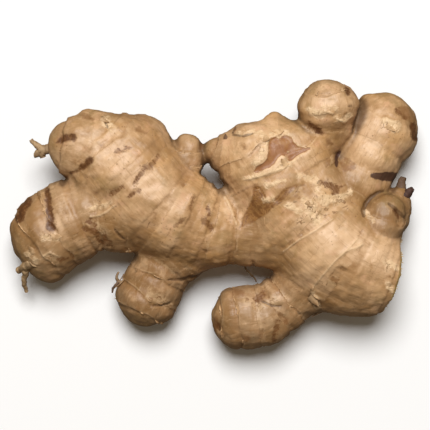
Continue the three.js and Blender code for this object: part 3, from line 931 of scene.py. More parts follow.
def skin_finish():
    material = bpy.data.materials.new("ginger_skin")
    material.use_nodes = True
    material.node_tree.nodes.clear()
    skin = Wire(material.node_tree)
    place = skin.node("ShaderNodeTexCoord", out="Object")
    along = skin.node("ShaderNodeAttribute", {"attribute_name": "grain"}, out="Vector")
    mark = {
        name: skin.node("ShaderNodeAttribute", {"attribute_name": name}, out="Fac")
        for name in measures
    }
    fray = grains(place, 1.4, 4.0, 0.65)
    tear = grains(place, 3.2, 5.0, 0.68)
    frayed = (tear - 0.5) * 5.0
    blotch = grains(place, 4.5, 3.0, 0.6)
    slow = grains(place, 24, 2.0)

    # slow changes of colour, and one from internode to internode
    color = tint(fade(slow, 0.34, 0.64), BUFF, PALE)
    color = tint(mark["tone"] * fade(blotch, 0.2, 0.6) * 0.4, color, TAN)
    color = tint(fade(grains(place, 13, 3.0), 0.48, 0.7) * 0.6, color, GOLD)
    color = tint(fade(grains(place, 9, 4.0, 0.6), 0.52, 0.7) * 0.5, color, OLIVE)
    color = tint(fade(grains(place, 8, 3.0, 0.6), 0.48, 0.3) * 0.55, color, PINK)
    # duller fingers: partly greyer skin, partly painted shade on the lower fingers and the back nub
    color = tint(mark["dusk"] * 0.85, color, DUSKY)
    color = tint(fade(grains(place, 16, 4.0, 0.6), 0.44, 0.66) * 0.5, color, TAN)
    color = tint(fade(grains(place, 6, 4.0, 0.62), 0.5, 0.32) * 0.45, color, PALE)

    # zones painted browner, partly browned skin and partly painted shade at lower edges and in
    # folds, and zones painted paler, partly pale skin and partly painted highlight on lit tops
    browned_and_shade = fade(mark["browned_and_shade"] + frayed * 1.6 + (blotch - 0.5) * 6, 4.0, -5.0)
    pale_and_highlight = fade(mark["pale_and_highlight"] + frayed * 1.6 + (blotch - 0.5) * 6, 5.0, -6.0)
    color = tint(pale_and_highlight * 0.62, color, PALE_AND_HIGHLIGHT_CREAM)
    color = tint(browned_and_shade * 0.66, color, BROWN_AND_SHADE)
    # painted shade: the sides and underside are painted browner the further they turn from the top
    color = tint(fade(mark["flank"] + (blotch - 0.5) * 0.3, 0.35, 1.0) * 0.4, color, BROWN_AND_SHADE)

    # fine streaks along the finger
    streak = grains(along, 1.0, 4.0, 0.64, 0.5)
    thread = grains(along, 0.42, 2.0, 0.6)
    color = tint(fade(streak, 0.5, 0.74) * 0.5, color, TAN)
    color = tint(fade(streak, 0.47, 0.26) * 0.4, color, PALE)
    color = tint(fade(thread, 0.56, 0.76) * 0.12, color, STAIN)
    color = tint(fade(tear, 0.56, 0.74) * 0.4, color, TAN)

    # ring scars: a fine edge, in places pale and in places a brown line, with flecks beside it
    ring = mark["ring"] + (fray - 0.5) * 1.2
    worn = fade(grains(place, 6.5, 3.0), 0.34, 0.56) * mark["scar"]
    dried = fade(grains(place, 9, 2.0), 0.42, 0.56)
    beside = line(mark["ring"], 1.2, 3.6) * mark["scar"]
    color = tint(line(ring, -0.35, 0.6) * worn * 0.4, color, CREAM)
    color = tint(line(ring, 0.25, 0.5) * worn * (0.2 + dried * 0.55), color, STAIN)
    color = tint(beside * fade(tear, 0.3, 0.6) * 0.5, color, TAN)
    flecks = line(mark["ring"], 0.4, 1.8) * fade(tear, 0.56, 0.66) * dried * mark["scar"]
    color = tint(flecks * 0.6, color, STAIN)

    # dull tips, and painted shade in the folds, in hollows and under the fingers
    color = tint(mark["tip"] * fade(blotch, 0.35, 0.65) * 0.5, color, OLIVE)
    color = tint(fade(mark["crease"] + frayed * 0.06, 0.3, 1.0) * 0.5, color, SHADE_AND_CRACK_BROWN)
    color = tint(fade(mark["cavity"], 0.1, 0.7) * 0.65, color, SHADE_AND_CRACK_BROWN)
    color = tint(fade(mark["shelter"], 0.35, 1.0) * 0.25, color, SHADE_AND_CRACK_BROWN)

    # the masks of the marks, each with a ragged edge
    raw = fade(mark["raw"] + (tear - 0.5) * 1.6, 0.25, -0.15)
    rim = fade(mark["raw"] + frayed * 0.5, 1.3, 0.3) - raw
    torn = fade(mark["torn"] + frayed * 1.1, 0.7, -0.7)
    tan = fade(mark["tan"] + frayed * 0.9, 0.7, -0.7)
    stain = fade(mark["stain"] + frayed * 1.2, 0.5, -0.5)
    bruise = fade(mark["bruise"] + frayed * 0.75, 0.7, -0.6)
    scorched = fade(mark["scorched"] + frayed * 0.5, 0.5, -0.4)
    scale = fade(mark["scale"] + frayed * 0.3, 0.35, -0.3)
    crack = fade(mark["crack"] + (fray - 0.5) * 0.6, 0.3, -0.15)
    ridge = fade(mark["ridge"] + (fray - 0.5) * 0.5, 0.3, -0.1)
    zone = fade(mark["curl"] + frayed * 0.7, 0.8, -0.6)
    fold = torn_folds(place)
    curl = line(grains(place, 3.4, 2.0, 0.5, 1.4), 0.5, 0.07)
    curl = curl * fade(grains(place, 2.4, 2.0), 0.44, 0.52)
    swirl = line(grains(place, 4.4, 3.0, 0.55, 2.2), 0.52, 0.1)

    # their colours: first the patches, then torn skin, then stains, bruises, cracks and ridges
    color = tint(tan * 0.6, color, SCORCHED)
    color = tint(scorched * 0.88, color, SCORCHED)
    color = tint(scorched * fade(blotch, 0.4, 0.62) * 0.5, color, STAIN)
    color = tint(scorched * swirl * 0.4, color, GOLD)
    color = tint(rim * fade(tear, 0.42, 0.58) * 0.6, color, CREAM)
    color = tint(raw * 0.92, color, RAW)
    color = tint(raw * fade(streak, 0.48, 0.7) * 0.35, color, STAIN)
    color = tint(raw * fade(blotch, 0.5, 0.65) * 0.35, color, GOLD)
    color = tint(torn * fade(blotch, 0.3, 0.5) * 0.72, color, CREAM)
    color = tint(torn * fade(tear, 0.58, 0.64) * 0.6, color, SCORCHED)
    color = tint(torn * fold * 0.5, color, CREAM)
    color = tint(torn * fade(fold, 0.5, 0.1) * fade(blotch, 0.5, 0.62) * 0.4, color, SCORCHED)
    color = tint(zone * 0.25, color, CREAM)
    color = tint(zone * curl * 0.8, color, SCORCHED)
    streaked = 0.54 + fade(streak, 0.6, 0.42) * 0.4
    color = tint(stain * fade(fray, 0.2, 0.45) * streaked, color, STAIN)
    color = tint(bruise * 0.76, color, STAIN)
    color = tint(bruise * fade(fray, 0.3, 0.52) * 0.72, color, BRUISE)
    # dark scales, partly painted shadow: the crevices beside them are painted dark
    color = tint(scale * 0.9, color, PURPLE)
    # cracks: partly real, partly painted shade of creases and of the recess round the nub
    color = tint(crack * 0.62, color, SHADE_AND_CRACK_BROWN)
    # raised ridges painted cream: partly pale dry skin, partly painted highlight on their crests
    color = tint(ridge * 0.45, color, CREAM)

    # small brown specks, in patches
    cell = {"Vector": place, "Scale": 1 / (1.9 * MM), "Randomness": 1.0}
    dot = skin.node("ShaderNodeTexVoronoi", {"feature": "F1"}, cell, out="Distance")
    speckled = fade(grains(place, 12, 2.0), 0.48, 0.66)
    specks = fade(dot + (fray - 0.5) * 0.3, 0.2, 0.1) * speckled
    color = tint(specks * 0.5, color, STAIN)

    # broken flesh: fibres seen end on, paler towards the middle, in a brown rind
    cell = {"Vector": place, "Scale": 1 / (1.3 * MM), "Randomness": 0.9}
    fibre = skin.node("ShaderNodeTexVoronoi", {"feature": "F1"}, cell, out="Distance")
    inner = tint(fade(fibre, 0.34, 0.16) * 0.7, FLESH, FIBRE)
    inner = tint(fade(grains(place, 3.0, 4.0, 0.7), 0.42, 0.66) * 0.5, inner, TAN)
    inner = tint(fade(mark["rind"], 0.7, 1.0) * 0.6, inner, STAIN)
    color = tint(fade(mark["flesh"] + frayed * 0.08, 0.35, 0.65), color, inner)

    # what is too fine for the mesh: grain, torn edges, scars, cracks and fibres
    height = streak * 0.7 + thread * 0.3 + fray * 0.45 + tear * 0.5
    height = height - curl * zone * 0.3 + fold * torn * 1.1
    height = height - line(ring, 0.25, 0.5) * worn * 0.9 - crack * 1.1 + ridge * 0.8 - raw * 0.8
    height = height - specks * 0.4 - bruise * 0.3 + mark["flesh"] * fibre * 1.5
    sockets = {"Height": height, "Strength": 0.42, "Distance": 0.4 * MM}
    normal = skin.node("ShaderNodeBump", {}, sockets)
    rough = 0.34 + fray * 0.16 + stain * 0.1 + tan * 0.06
    rough = rough + mark["cavity"] * 0.1 + mark["flesh"] * 0.2
    surface = skin.node(
        "ShaderNodeBsdfPrincipled",
        {},
        {"Base Color": color, "Roughness": rough, "Normal": normal, "Specular IOR Level": 0.4},
    )
    skin.node("ShaderNodeOutputMaterial", {}, {"Surface": surface})
    return material


# Low relief on the skin: paper collars at the ring scars, wrinkles along the finger, dents, sunk
# stains and lifted torn skin. It moves each point of the mesh a little along its normal.


def tree_inputs(name, sizes):
    """A new geometry tree with a named input for each size, and a wire to each."""
    tree = bpy.data.node_groups.new(name, "GeometryNodeTree")
    tree.interface.new_socket("Geometry", in_out="INPUT", socket_type="NodeSocketGeometry")
    for label, size in sizes.items():
        socket = tree.interface.new_socket(label, in_out="INPUT", socket_type="NodeSocketFloat")
        socket.default_value = size
    tree.interface.new_socket("Geometry", in_out="OUTPUT", socket_type="NodeSocketGeometry")
    entry = tree.nodes.new("NodeGroupInput")
    return Wire(tree), {socket.name: Wire(tree, socket) for socket in entry.outputs if socket.name}


def grown(name, mesh, start, sizes, geometry, material):
    """Ends a tree in its material, runs it on a mesh, and gives the plain result as a piece."""
    sockets = {"Geometry": geometry, "Material": material}
    painted = start.node("GeometryNodeSetMaterial", {}, sockets)
    whole = start.node("GeometryNodeRealizeInstances", {}, {"Geometry": painted})
    start.node("NodeGroupOutput", {}, {"Geometry": whole})
    source = bpy.data.objects.new(name + "_source", mesh)
    bpy.context.collection.objects.link(source)
    modifier = source.modifiers.new(name, "NODES")
    modifier.node_group = start.tree
    for socket in start.tree.interface.items_tree:
        if socket.in_out == "INPUT" and socket.name in sizes:
            modifier[socket.identifier] = sizes[socket.name]
    depsgraph = bpy.context.evaluated_depsgraph_get()
    result = bpy.data.meshes.new_from_object(source.evaluated_get(depsgraph), depsgraph=depsgraph)
    source.modifiers.remove(modifier)
    bpy.data.objects.remove(source)
    piece = bpy.data.objects.new(name, result)
    piece.data.name = name
    bpy.context.collection.objects.link(piece)
    return piece


RELIEF = {
    "Collar": 0.36 * MM,
    "Groove": 0.26 * MM,
    "Wrinkle": 0.2 * MM,
    "Dent": 0.95 * MM,
    "Pit": 0.32 * MM,
    "Stain Depth": 0.22 * MM,
    "Torn Height": 0.14 * MM,
    "Crack Depth": 0.42 * MM,
    "Fibre": 0.5 * MM,
}
RELIEF_MARKS = (
    "ring", "scar", "stain", "bruise", "scorched", "torn", "curl", "crack", "raw", "ridge", "flesh",
)


def measured(start, name, kind="FLOAT"):
    """One of the mesh's own measures."""
    return start.node("GeometryNodeInputNamedAttribute", {"data_type": kind}, {"Name": name})


def make_skin(material):
    """The skin piece: the mesh with each point moved along its normal."""
    start, size = tree_inputs("skin_relief", RELIEF)
    place = start.node("GeometryNodeInputPosition")
    mark = {name: measured(start, name) for name in RELIEF_MARKS}
    along = measured(start, "grain", "FLOAT_VECTOR")
    collar = fade(mark["ring"], -2.2, -0.1) * fade(mark["ring"], 0.5, 0.0) * mark["scar"]
    groove = line(mark["ring"], 0.9, 1.3) * mark["scar"]
    wrinkle = grains(along, 2.0, 3.0, 0.55) + grains(place, 2.4, 2.0) * 0.5 - 0.75
    dent = grains(place, 8.5, 2.0) - 0.5
    pit = grains(place, 3.6, 2.0) - 0.5
    ragged = grains(place, 1.3, 3.0, 0.6)
    height = size["Collar"] * collar - size["Groove"] * groove
    height = height + size["Wrinkle"] * 2 * wrinkle
    height = height + size["Dent"] * 2 * dent + size["Pit"] * 2 * pit
    height = height - size["Stain Depth"] * fade(mark["stain"], 0.6, -0.6)
    height = height - size["Stain Depth"] * fade(mark["bruise"], 1.2, -1.0) * 1.5
    height = height - size["Stain Depth"] * fade(mark["scorched"], 0.8, -0.8)
    height = height + size["Torn Height"] * fade(mark["curl"], 0.8, -0.6) * (ragged - 0.5) * 3
    fold = torn_folds(place)
    height = height + size["Torn Height"] * fade(mark["torn"], 0.8, -0.6) * fold * 2
    height = height + size["Torn Height"] * fade(mark["torn"], 0.6, -0.6) * (ragged - 0.4) * 2
    height = height - size["Crack Depth"] * fade(mark["crack"], 0.6, -0.2)
    height = height - size["Stain Depth"] * 2 * fade(mark["raw"], 0.4, -0.5)
    height = height + size["Collar"] * fade(mark["ridge"], 0.6, -0.2)
    height = height + size["Fibre"] * mark["flesh"] * (ragged - 0.5) * 2
    normal = start.node("GeometryNodeInputNormal")
    push = start.node("ShaderNodeVectorMath", {"operation": "SCALE"}, {0: normal, "Scale": height})
    sockets = {"Geometry": size["Geometry"], "Offset": push}
    moved = start.node("GeometryNodeSetPosition", {}, sockets)
    return grown("ginger_skin", skin_mesh, start, RELIEF, moved, material)


skin_material = skin_finish()
skin = make_skin(skin_material)
skin_points = np.zeros(len(skin.data.vertices) * 3)
skin.data.vertices.foreach_get("co", skin_points)
skin_points = np.clip(skin_points.reshape(-1, 3), *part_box("ginger_rhizome"))
skin.data.vertices.foreach_set("co", skin_points.ravel())
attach(skin, "root")
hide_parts("ginger_rhizome")


# Dry fringes. At a ring scar the base of the old scale leaf still stands up from the skin in
# places, as a thin ragged edge of paper. Lines are laid on the skin along the scars, and
# Geometry Nodes raise the fringe from them and give it its thickness.

FRINGE = {
    "Height": 0.6 * MM,
    "Thickness": 0.14 * MM,
}

# A fringe follows a scar where it runs near the ring and is strong enough: how near, how strong,
# how far above the table, where it is parted, and how many points the shortest one has
ON_SCAR = 1.0
STRONG_SCAR = 0.4
FRINGE_CLEAR = 1.6
FRINGE_PARTED = 0.2
FRINGE_SHORTEST = 4
FRINGE_ANGLES = np.radians(np.arange(0, 362, 2.5))

# How deep it is rooted and how far it leans towards the tip, and the size of its ragged edge
FRINGE_SUNK = 0.2
LEAN = 0.9
RAGGED_SCALE = 900.0
MERGE = 0.005 * MM
SCALE_PALE = paint(206, 166, 120)
SCALE_BROWN = paint(150, 112, 72)
BARE = ("right nub, front", "right nub, back")
skin_faces = BVHTree.FromPolygons((skin_points / MM).tolist(), net_quads.tolist())


def scar_lines(finger, ring):
    """Stretches of a ring scar on the skin, as rows of place, outward normal and growth."""
    beads, lengths = finger["spine"]
    i = int(np.clip(np.searchsorted(lengths, ring) - 1, 0, len(beads) - 2))
    part = (ring - lengths[i]) / (lengths[i + 1] - lengths[i])
    middle = beads[i, :3] + part * (beads[i + 1, :3] - beads[i, :3])
    onward = (beads[i + 1] - beads[i])[:3]
    onward /= np.linalg.norm(onward)
    side = np.cross(onward, (0, 0, 1))
    side /= np.linalg.norm(side)
    up = np.cross(side, onward)
    stretches = [[]]
    phases = rng.uniform(0, 2 * math.pi, 3)
    for angle in FRINGE_ANGLES:
        outward = math.cos(angle) * side + math.sin(angle) * up
        left = math.sin(2 * angle + phases[0]) + math.sin(5 * angle + phases[1])
        left += 0.8 * math.sin(11 * angle + phases[2])
        hit = skin_faces.ray_cast(middle, outward)[0] if left > FRINGE_PARTED else None
        if hit is not None:
            moved = np.array(hit) - wander([hit])[0] * onward
            spot, normal, face, _ = skin_faces.find_nearest(moved)
            corner = net_quads[face][0]
            near = abs(measures["ring"][corner]) < ON_SCAR
            if near and measures["scar"][corner] > STRONG_SCAR and spot[2] > FRINGE_CLEAR:
                stretches[-1].append((np.array(spot), np.array(normal), onward))
                continue
        stretches.append([])
    return [stretch for stretch in stretches if len(stretch) >= FRINGE_SHORTEST]


def line_mesh(name, lines, label, kind):
    """A mesh of open lines with a share and one more measure at each point."""
    points = [point for stretch in lines for point in stretch]
    starts = np.cumsum([0] + [len(stretch) for stretch in lines])
    edges = [(i, i + 1) for low, high in zip(starts, starts[1:]) for i in range(low, high - 1)]
    mesh = bpy.data.meshes.new(name)
    mesh.from_pydata([point[0] * MM for point in points], edges, [])
    shares = mesh.attributes.new("share", "FLOAT", "POINT")
    shares.data.foreach_set("value", [point[1] for point in points])
    values = mesh.attributes.new(label, kind, "POINT").data
    values.foreach_set("value" if kind == "FLOAT" else "vector", np.ravel([p[2] for p in points]))
    return mesh


def paper_finish(name, pale, dark):
    """Dry papery scale, pale to tan in patches, with brown spots."""
    material = bpy.data.materials.new(name)
    material.use_nodes = True
    material.node_tree.nodes.clear()
    paper = Wire(material.node_tree)
    place = paper.node("ShaderNodeTexCoord", out="Object")
    grain = grains(place, 0.9, 4.0, 0.65)
    color = tint(fade(grains(place, 2.6, 3.0), 0.4, 0.65), pale, dark)
    color = tint(fade(grain, 0.55, 0.75) * 0.5, color, STAIN)
    sockets = {"Height": grain, "Strength": 0.5, "Distance": 0.2 * MM}
    normal = paper.node("ShaderNodeBump", {}, sockets)
    sockets = {"Base Color": color, "Roughness": 0.6 + grain * 0.2, "Normal": normal}
    surface = paper.node("ShaderNodeBsdfPrincipled", {}, sockets)
    paper.node("ShaderNodeOutputMaterial", {}, {"Surface": surface})
    return material


def closed(piece):
    """Turns all faces of a piece's closed shells outwards."""
    shell = bmesh.new()
    shell.from_mesh(piece.data)
    bmesh.ops.recalc_face_normals(shell, faces=shell.faces)
    shell.to_mesh(piece.data)
    shell.free()
    return piece


scars = []
for finger in FINGERS:
    if finger["name"] in LOBES or finger["name"] in BARE:
        continue
    for ring in finger["rings"]:
        scars += scar_lines(finger, ring)
fringe_lines = []
for stretch in scars:
    along = np.linspace(0, 1, len(stretch))
    shares = np.sin(math.pi * along) ** 0.5 * rng.uniform(0.5, 1.0)
    fringe_lines.append(
        [
            (spot - FRINGE_SUNK * normal, max(share, 0.05), normal + LEAN * onward)
            for (spot, normal, onward), share in zip(stretch, shares)
        ]
    )

start, size = tree_inputs("scale_fringe", FRINGE)
place = start.node("GeometryNodeInputPosition")
sockets = {"Vector": place, "Scale": RAGGED_SCALE, "Detail": 2.0}
ragged = fade(start.node("ShaderNodeTexNoise", {}, sockets), 0.3, 0.65)
rise = size["Height"] * measured(start, "share") * (ragged + 0.45)
lean = measured(start, "lean", "FLOAT_VECTOR")
sockets = {"Mesh": size["Geometry"], "Offset": lean, "Offset Scale": rise}
blade = start.node("GeometryNodeExtrudeMesh", {"mode": "EDGES"}, sockets)
sockets = {"Mesh": blade, "Offset Scale": size["Thickness"], "Individual": False}
front = start.node("GeometryNodeExtrudeMesh", {"mode": "FACES"}, sockets)
back = start.node("GeometryNodeFlipFaces", {}, {"Mesh": blade})
both = start.node("GeometryNodeJoinGeometry", {}, {"Geometry": front})
start.tree.links.new(back.socket, both.socket.node.inputs["Geometry"])
shells = start.node("GeometryNodeMergeByDistance", {}, {"Geometry": both, "Distance": MERGE})
paper = paper_finish("dry_scale", SCALE_PALE, SCALE_BROWN)
scar_mesh = line_mesh("scars", fringe_lines, "lean", "FLOAT_VECTOR")
fringes = closed(grown("scale_fringes", scar_mesh, start, FRINGE, shells, paper))
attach(fringes, "root")


# Rootlets. A few thin roots still grow out of the rhizome, dried to wiry stubs with prongs, and
# two dead points of a leaf shoot. Geometry Nodes draw each as a knotty tapering tube.

TUBE = {
    "Wobble": 0.5 * MM,
    "Knot": 0.22,
    "Step": 0.45 * MM,
}
TUBE_SIDES = 12
DRIFT_SCALE = 420.0
SHRIVEL = 0.5 * MM
ROOTLET_PALE = paint(196, 164, 122)
ROOTLET_TAN = paint(150, 120, 84)
ROOTLET_DRIED = paint(70, 44, 34)

# Points in millimetres, the radius at the root and at the tip, and how dark it has dried
ROOTLETS = (
    (((-62, 27.5, 20), (-68, 27, 20.4), (-71.4, 26.2, 20.6)), 2.0, 1.5, 0.35),
    (((-70, 26.4, 20.5), (-72.4, 28.4, 20.9), (-74.8, 30.8, 21.6)), 1.4, 0.7, 0.2),
    (((-70, 26.6, 20.5), (-72, 25.2, 20.1), (-73.6, 24.2, 19.6)), 1.6, 1.0, 0.4),
    (((-70, 26.6, 20.6), (-70.6, 24.8, 20.6), (-70.2, 23.4, 20.2)), 1.5, 1.1, 0.4),
    (
        ((-68.5, -17.4, 22.4), (-71, -18.4, 22.6), (-73.4, -19.4, 21.6), (-77, -20.8, 18.2)),
        1.0, 1.6, 0.1,
    ),
    (((-73, -19, 22.2), (-77, -20.6, 18.4), (-80.8, -23, 13.4)), 1.8, 1.2, 0.05),
    (((-74, -18.8, 21), (-75.6, -16.8, 20), (-77, -14.6, 19)), 1.2, 0.6, 0.1),
    (
        ((-76.6, -20.4, 18), (-78.3, -25.4, 14.4), (-78.7, -28.8, 11.4), (-78.1, -31.8, 9)),
        1.3, 0.6, 0.15,
    ),
    (
        ((-37, -28.2, 13), (-39.4, -27.6, 13.4), (-40.2, -25.8, 13.8), (-39.6, -23.6, 14.4)),
        0.9, 0.3, 0.5,
    ),
    (
        ((-39.2, -27.8, 13.4), (-41, -29, 13.2), (-42, -30.6, 12.8), (-42.3, -32, 12.2)),
        0.7, 0.25, 0.8,
    ),
    (((12, -16, 12.5), (12.7, -21.6, 12), (14.6, -24, 11.4), (17.4, -27.6, 9.6)), 0.36, 0.22, 0.6),
    (((75.5, 6, 14.5), (76.6, 11, 15.4), (77.4, 15.6, 16.4)), 3.0, 1.0, 0.75),
    (((76, 6, 15.5), (78.6, 8.4, 17), (81, 10.6, 18.6)), 3.0, 0.9, 1.0),
)
root_lines = []
for points, root, tip, dried in ROOTLETS:
    thickness = np.linspace(root, tip, len(points))
    beads, _ = spine_of([(*point, radius) for point, radius in zip(points, thickness)])
    root_lines.append([(bead[:3], bead[3] * MM, dried) for bead in beads])

start, size = tree_inputs("rootlet_tubes", TUBE)
curve = start.node("GeometryNodeMeshToCurve", {}, {"Mesh": size["Geometry"]})
sockets = {"Curve": curve, "Length": size["Step"]}
curve = start.node("GeometryNodeResampleCurve", {"mode": "LENGTH"}, sockets)
place = start.node("GeometryNodeInputPosition")
sockets = {"Vector": place, "Scale": DRIFT_SCALE, "Detail": 3.0}
drift = start.node("ShaderNodeTexNoise", {}, sockets, out="Color")
sockets = {0: drift, 1: (0.5, 0.5, 0.5)}
drift = start.node("ShaderNodeVectorMath", {"operation": "SUBTRACT"}, sockets)
sockets = {0: drift, "Scale": size["Wobble"] * 3}
drift = start.node("ShaderNodeVectorMath", {"operation": "SCALE"}, sockets)
curve = start.node("GeometryNodeSetPosition", {}, {"Geometry": curve, "Offset": drift})
knots = grains(place, 1.3, 2.0) - 0.5
width = measured(start, "share") * (1.2 + knots * 2 * size["Knot"])
ring = start.node("GeometryNodeCurvePrimitiveCircle", {}, {"Resolution": TUBE_SIDES, "Radius": 1.0})
sockets = {"Curve": curve, "Profile Curve": ring, "Scale": width, "Fill Caps": True}
tube = start.node("GeometryNodeCurveToMesh", {}, sockets)
place = start.node("GeometryNodeInputPosition")
shrivel = (grains(place, 0.8, 2.0) - 0.5) * SHRIVEL
push = start.node("GeometryNodeInputNormal")
push = start.node("ShaderNodeVectorMath", {"operation": "SCALE"}, {0: push, "Scale": shrivel})
tube = start.node("GeometryNodeSetPosition", {}, {"Geometry": tube, "Offset": push})
tube = start.node("GeometryNodeSetShadeSmooth", {}, {"Geometry": tube})


def rootlet_finish():
    """Fine wrinkled bark, from buff to nearly black where it has dried most."""
    material = bpy.data.materials.new("dry_rootlet")
    material.use_nodes = True
    material.node_tree.nodes.clear()
    bark = Wire(material.node_tree)
    place = bark.node("ShaderNodeTexCoord", out="Object")
    dried = bark.node("ShaderNodeAttribute", {"attribute_name": "dried"}, out="Fac")
    fine = grains(place, 0.6, 4.0, 0.65)
    color = tint(fade(grains(place, 2.0, 3.0), 0.35, 0.65), ROOTLET_PALE, ROOTLET_TAN)
    color = tint(fade(dried, 0.1, 1.0), color, ROOTLET_DRIED)
    color = tint(fade(fine, 0.52, 0.72) * 0.6, color, STAIN)
    sockets = {"Height": fine, "Strength": 0.6, "Distance": 0.25 * MM}
    normal = bark.node("ShaderNodeBump", {}, sockets)
    sockets = {"Base Color": color, "Roughness": 0.55 + fine * 0.25, "Normal": normal}
    surface = bark.node("ShaderNodeBsdfPrincipled", {}, sockets)
    bark.node("ShaderNodeOutputMaterial", {}, {"Surface": surface})
    return material


rootlet_mesh = line_mesh("rootlet_lines", root_lines, "dried", "FLOAT")
rootlets = closed(grown("rootlets", rootlet_mesh, start, TUBE, tube, rootlet_finish()))
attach(rootlets, "root")


# Loose scraps. Where the skin has torn or a scale has dried, small flakes of it stand off the
# root, curled and pointed. Each is a thin leaf bent over a short line, with a top and an underside.

SCRAP_THICKNESS = 0.24
SCRAP_ROWS = np.linspace(0, 1, 8)
SCRAP_COLUMNS = np.linspace(-1, 1, 6)

# How much of its length is rooted, how much it is crowned, twisted and jagged, and how wide its
# tip stays
SCRAP_SUNK = 0.12
SCRAP_CROWN = 0.25
SCRAP_TWIST = 0.4
SCRAP_JAGS = (0.75, 1.1)
SCRAP_TIP = 0.12
SCRAP_PALE = paint(222, 184, 138)
SCRAP_TAN = paint(182, 142, 96)
SCRAP_DRIED = paint(96, 64, 40)

# Where a scrap sits as seen from above, the way it points, its length, width and lift, and how
# dark it has dried
SCRAPS = (
    ((-38.3, -24.4), (-0.75, -0.7, 0.35), 5.4, 2.2, 0.4, 0.7),
    ((-37.2, -26.4), (-0.5, -0.9, 0.6), 5.0, 2.4, 0.5, 0.3),
    ((39.6, -33.4), (0.5, -0.85, 0.2), 5.2, 4.2, 0.25, 0.3),
    ((43.6, -40.2), (-0.6, -0.8, 0.0), 4.4, 2.0, 0.1, 0.6),
    ((7.7, 34.0), (-0.2, 1.0, 0.3), 3.2, 1.9, 0.1, 0.7),
    ((4.2, 31.2), (-0.3, 1.0, 0.3), 2.4, 2.2, 0.1, 0.9),
    ((29.6, 20.2), (-0.6, 0.7, 0.3), 3.8, 2.6, 0.25, 0.0),
    ((26.4, 34.6), (0.2, -1.0, 0.0), 2.6, 5.0, 0.2, 0.0),
    ((20.0, 31.5), (0.9, -0.3, 0.0), 2.6, 3.6, 0.2, 0.1),
    ((-74.4, -15.2), (-0.3, 0.8, 0.3), 3.6, 2.6, 0.25, 0.2),
    ((-66.5, -9.5), (0.9, 0.1, 0.0), 4.2, 2.6, 0.15, 0.2),
    ((71.0, 36.4), (0.7, -0.6, 0.0), 4.2, 3.0, 0.15, 0.1),
    ((-46.0, 39.4), (0.6, -0.6, 0.0), 4.0, 2.4, 0.2, 0.3),
    ((43.5, 2.5), (-0.4, -0.8, 0.0), 3.4, 2.6, 0.15, 0.2),
    ((38.0, 5.0), (0.6, -0.6, 0.0), 3.0, 2.2, 0.15, 0.3),
)
SMALL_SCRAPS = 46
SMALL_LENGTH = (0.8, 2.4)
SMALL_WIDTH = (0.5, 1.1)
SMALL_LIFT = 0.15
seen_points = seen_from_above(skin_points / MM)


def scrap_mesh(spot, normal, onward, length, width, lift):
    """Corners and faces of one curled scrap."""
    onward = onward - (onward @ normal) * normal * 0.8
    onward /= np.linalg.norm(onward)
    sideways = np.cross(normal, onward)
    twist = rng.uniform(-SCRAP_TWIST, SCRAP_TWIST)
    jags = rng.uniform(*SCRAP_JAGS, (len(SCRAP_ROWS), 2))
    top = []
    for u, jag in zip(SCRAP_ROWS, jags):
        half = width / 2 * (1 - u**1.6) ** 0.8 + SCRAP_TIP
        for v in SCRAP_COLUMNS:
            across = half * v * jag[0 if v < 0 else 1]
            rise = lift * length * u * u + SCRAP_CROWN * half * (1 - v * v) + twist * across * u
            ahead = onward * length * (u - SCRAP_SUNK)
            top.append(spot + ahead + sideways * across + normal * rise)
    top = np.array(top)
    corners = np.vstack([top, top - normal * SCRAP_THICKNESS])
    rows, columns, count = len(SCRAP_ROWS), len(SCRAP_COLUMNS), len(top)
    faces = []
    for i in range(rows - 1):
        for j in range(columns - 1):
            a = i * columns + j
            quad = (a, a + 1, a + columns + 1, a + columns)
            faces += [quad, tuple(corner + count for corner in reversed(quad))]
    border = list(range(columns))
    border += [i * columns + columns - 1 for i in range(1, rows)]
    border += [(rows - 1) * columns + j for j in range(columns - 2, -1, -1)]
    border += [i * columns for i in range(rows - 2, 0, -1)]
    for a, b in zip(border, border[1:] + border[:1]):
        faces.append((b, a, a + count, b + count))
    return corners, faces


def scrap_finish():
    """The paper of the fringes, browner on the scraps that have dried most."""
    material = paper_finish("torn_scrap", SCRAP_PALE, SCRAP_TAN)
    scrap = Wire(material.node_tree)
    surface = material.node_tree.nodes["Principled BSDF"].inputs["Base Color"]
    color = Wire(material.node_tree, surface.links[0].from_socket)
    dried = scrap.node("ShaderNodeAttribute", {"attribute_name": "dried"}, out="Fac")
    scrap.tree.links.new(tint(dried, color, SCRAP_DRIED).socket, surface)
    return material


scrap_corners = []
scrap_faces = []
scrap_darkness = []


def add_scrap(spot, normal, onward, length, width, lift, dark):
    """Puts one scrap into the lists of corners and faces."""
    corners, faces = scrap_mesh(spot, normal, np.array(onward, float), length, width, lift)
    begun = sum(len(part) for part in scrap_corners)
    scrap_corners.append(corners)
    scrap_faces.extend(tuple(corner + begun for corner in face) for face in faces)
    scrap_darkness.extend([dark] * len(corners))


for (x, y), onward, length, width, lift, dark in SCRAPS:
    apart = np.hypot(*(seen_points - (x, y)).T) + FAR * (normals[:, 2] < HIDDEN_BELOW)
    near = int(apart.argmin())
    add_scrap(skin_points[near] / MM, normals[near], onward, length, width, lift, dark)
for pick in rng.choice(len(scars), SMALL_SCRAPS):
    spot, normal, onward = scars[pick][len(scars[pick]) // 2]
    length = rng.uniform(*SMALL_LENGTH)
    onward = onward + rng.normal(0, 0.4, 3)
    width = length * rng.uniform(*SMALL_WIDTH)
    add_scrap(spot, normal, onward, length, width, SMALL_LIFT, rng.uniform(0, 0.6))

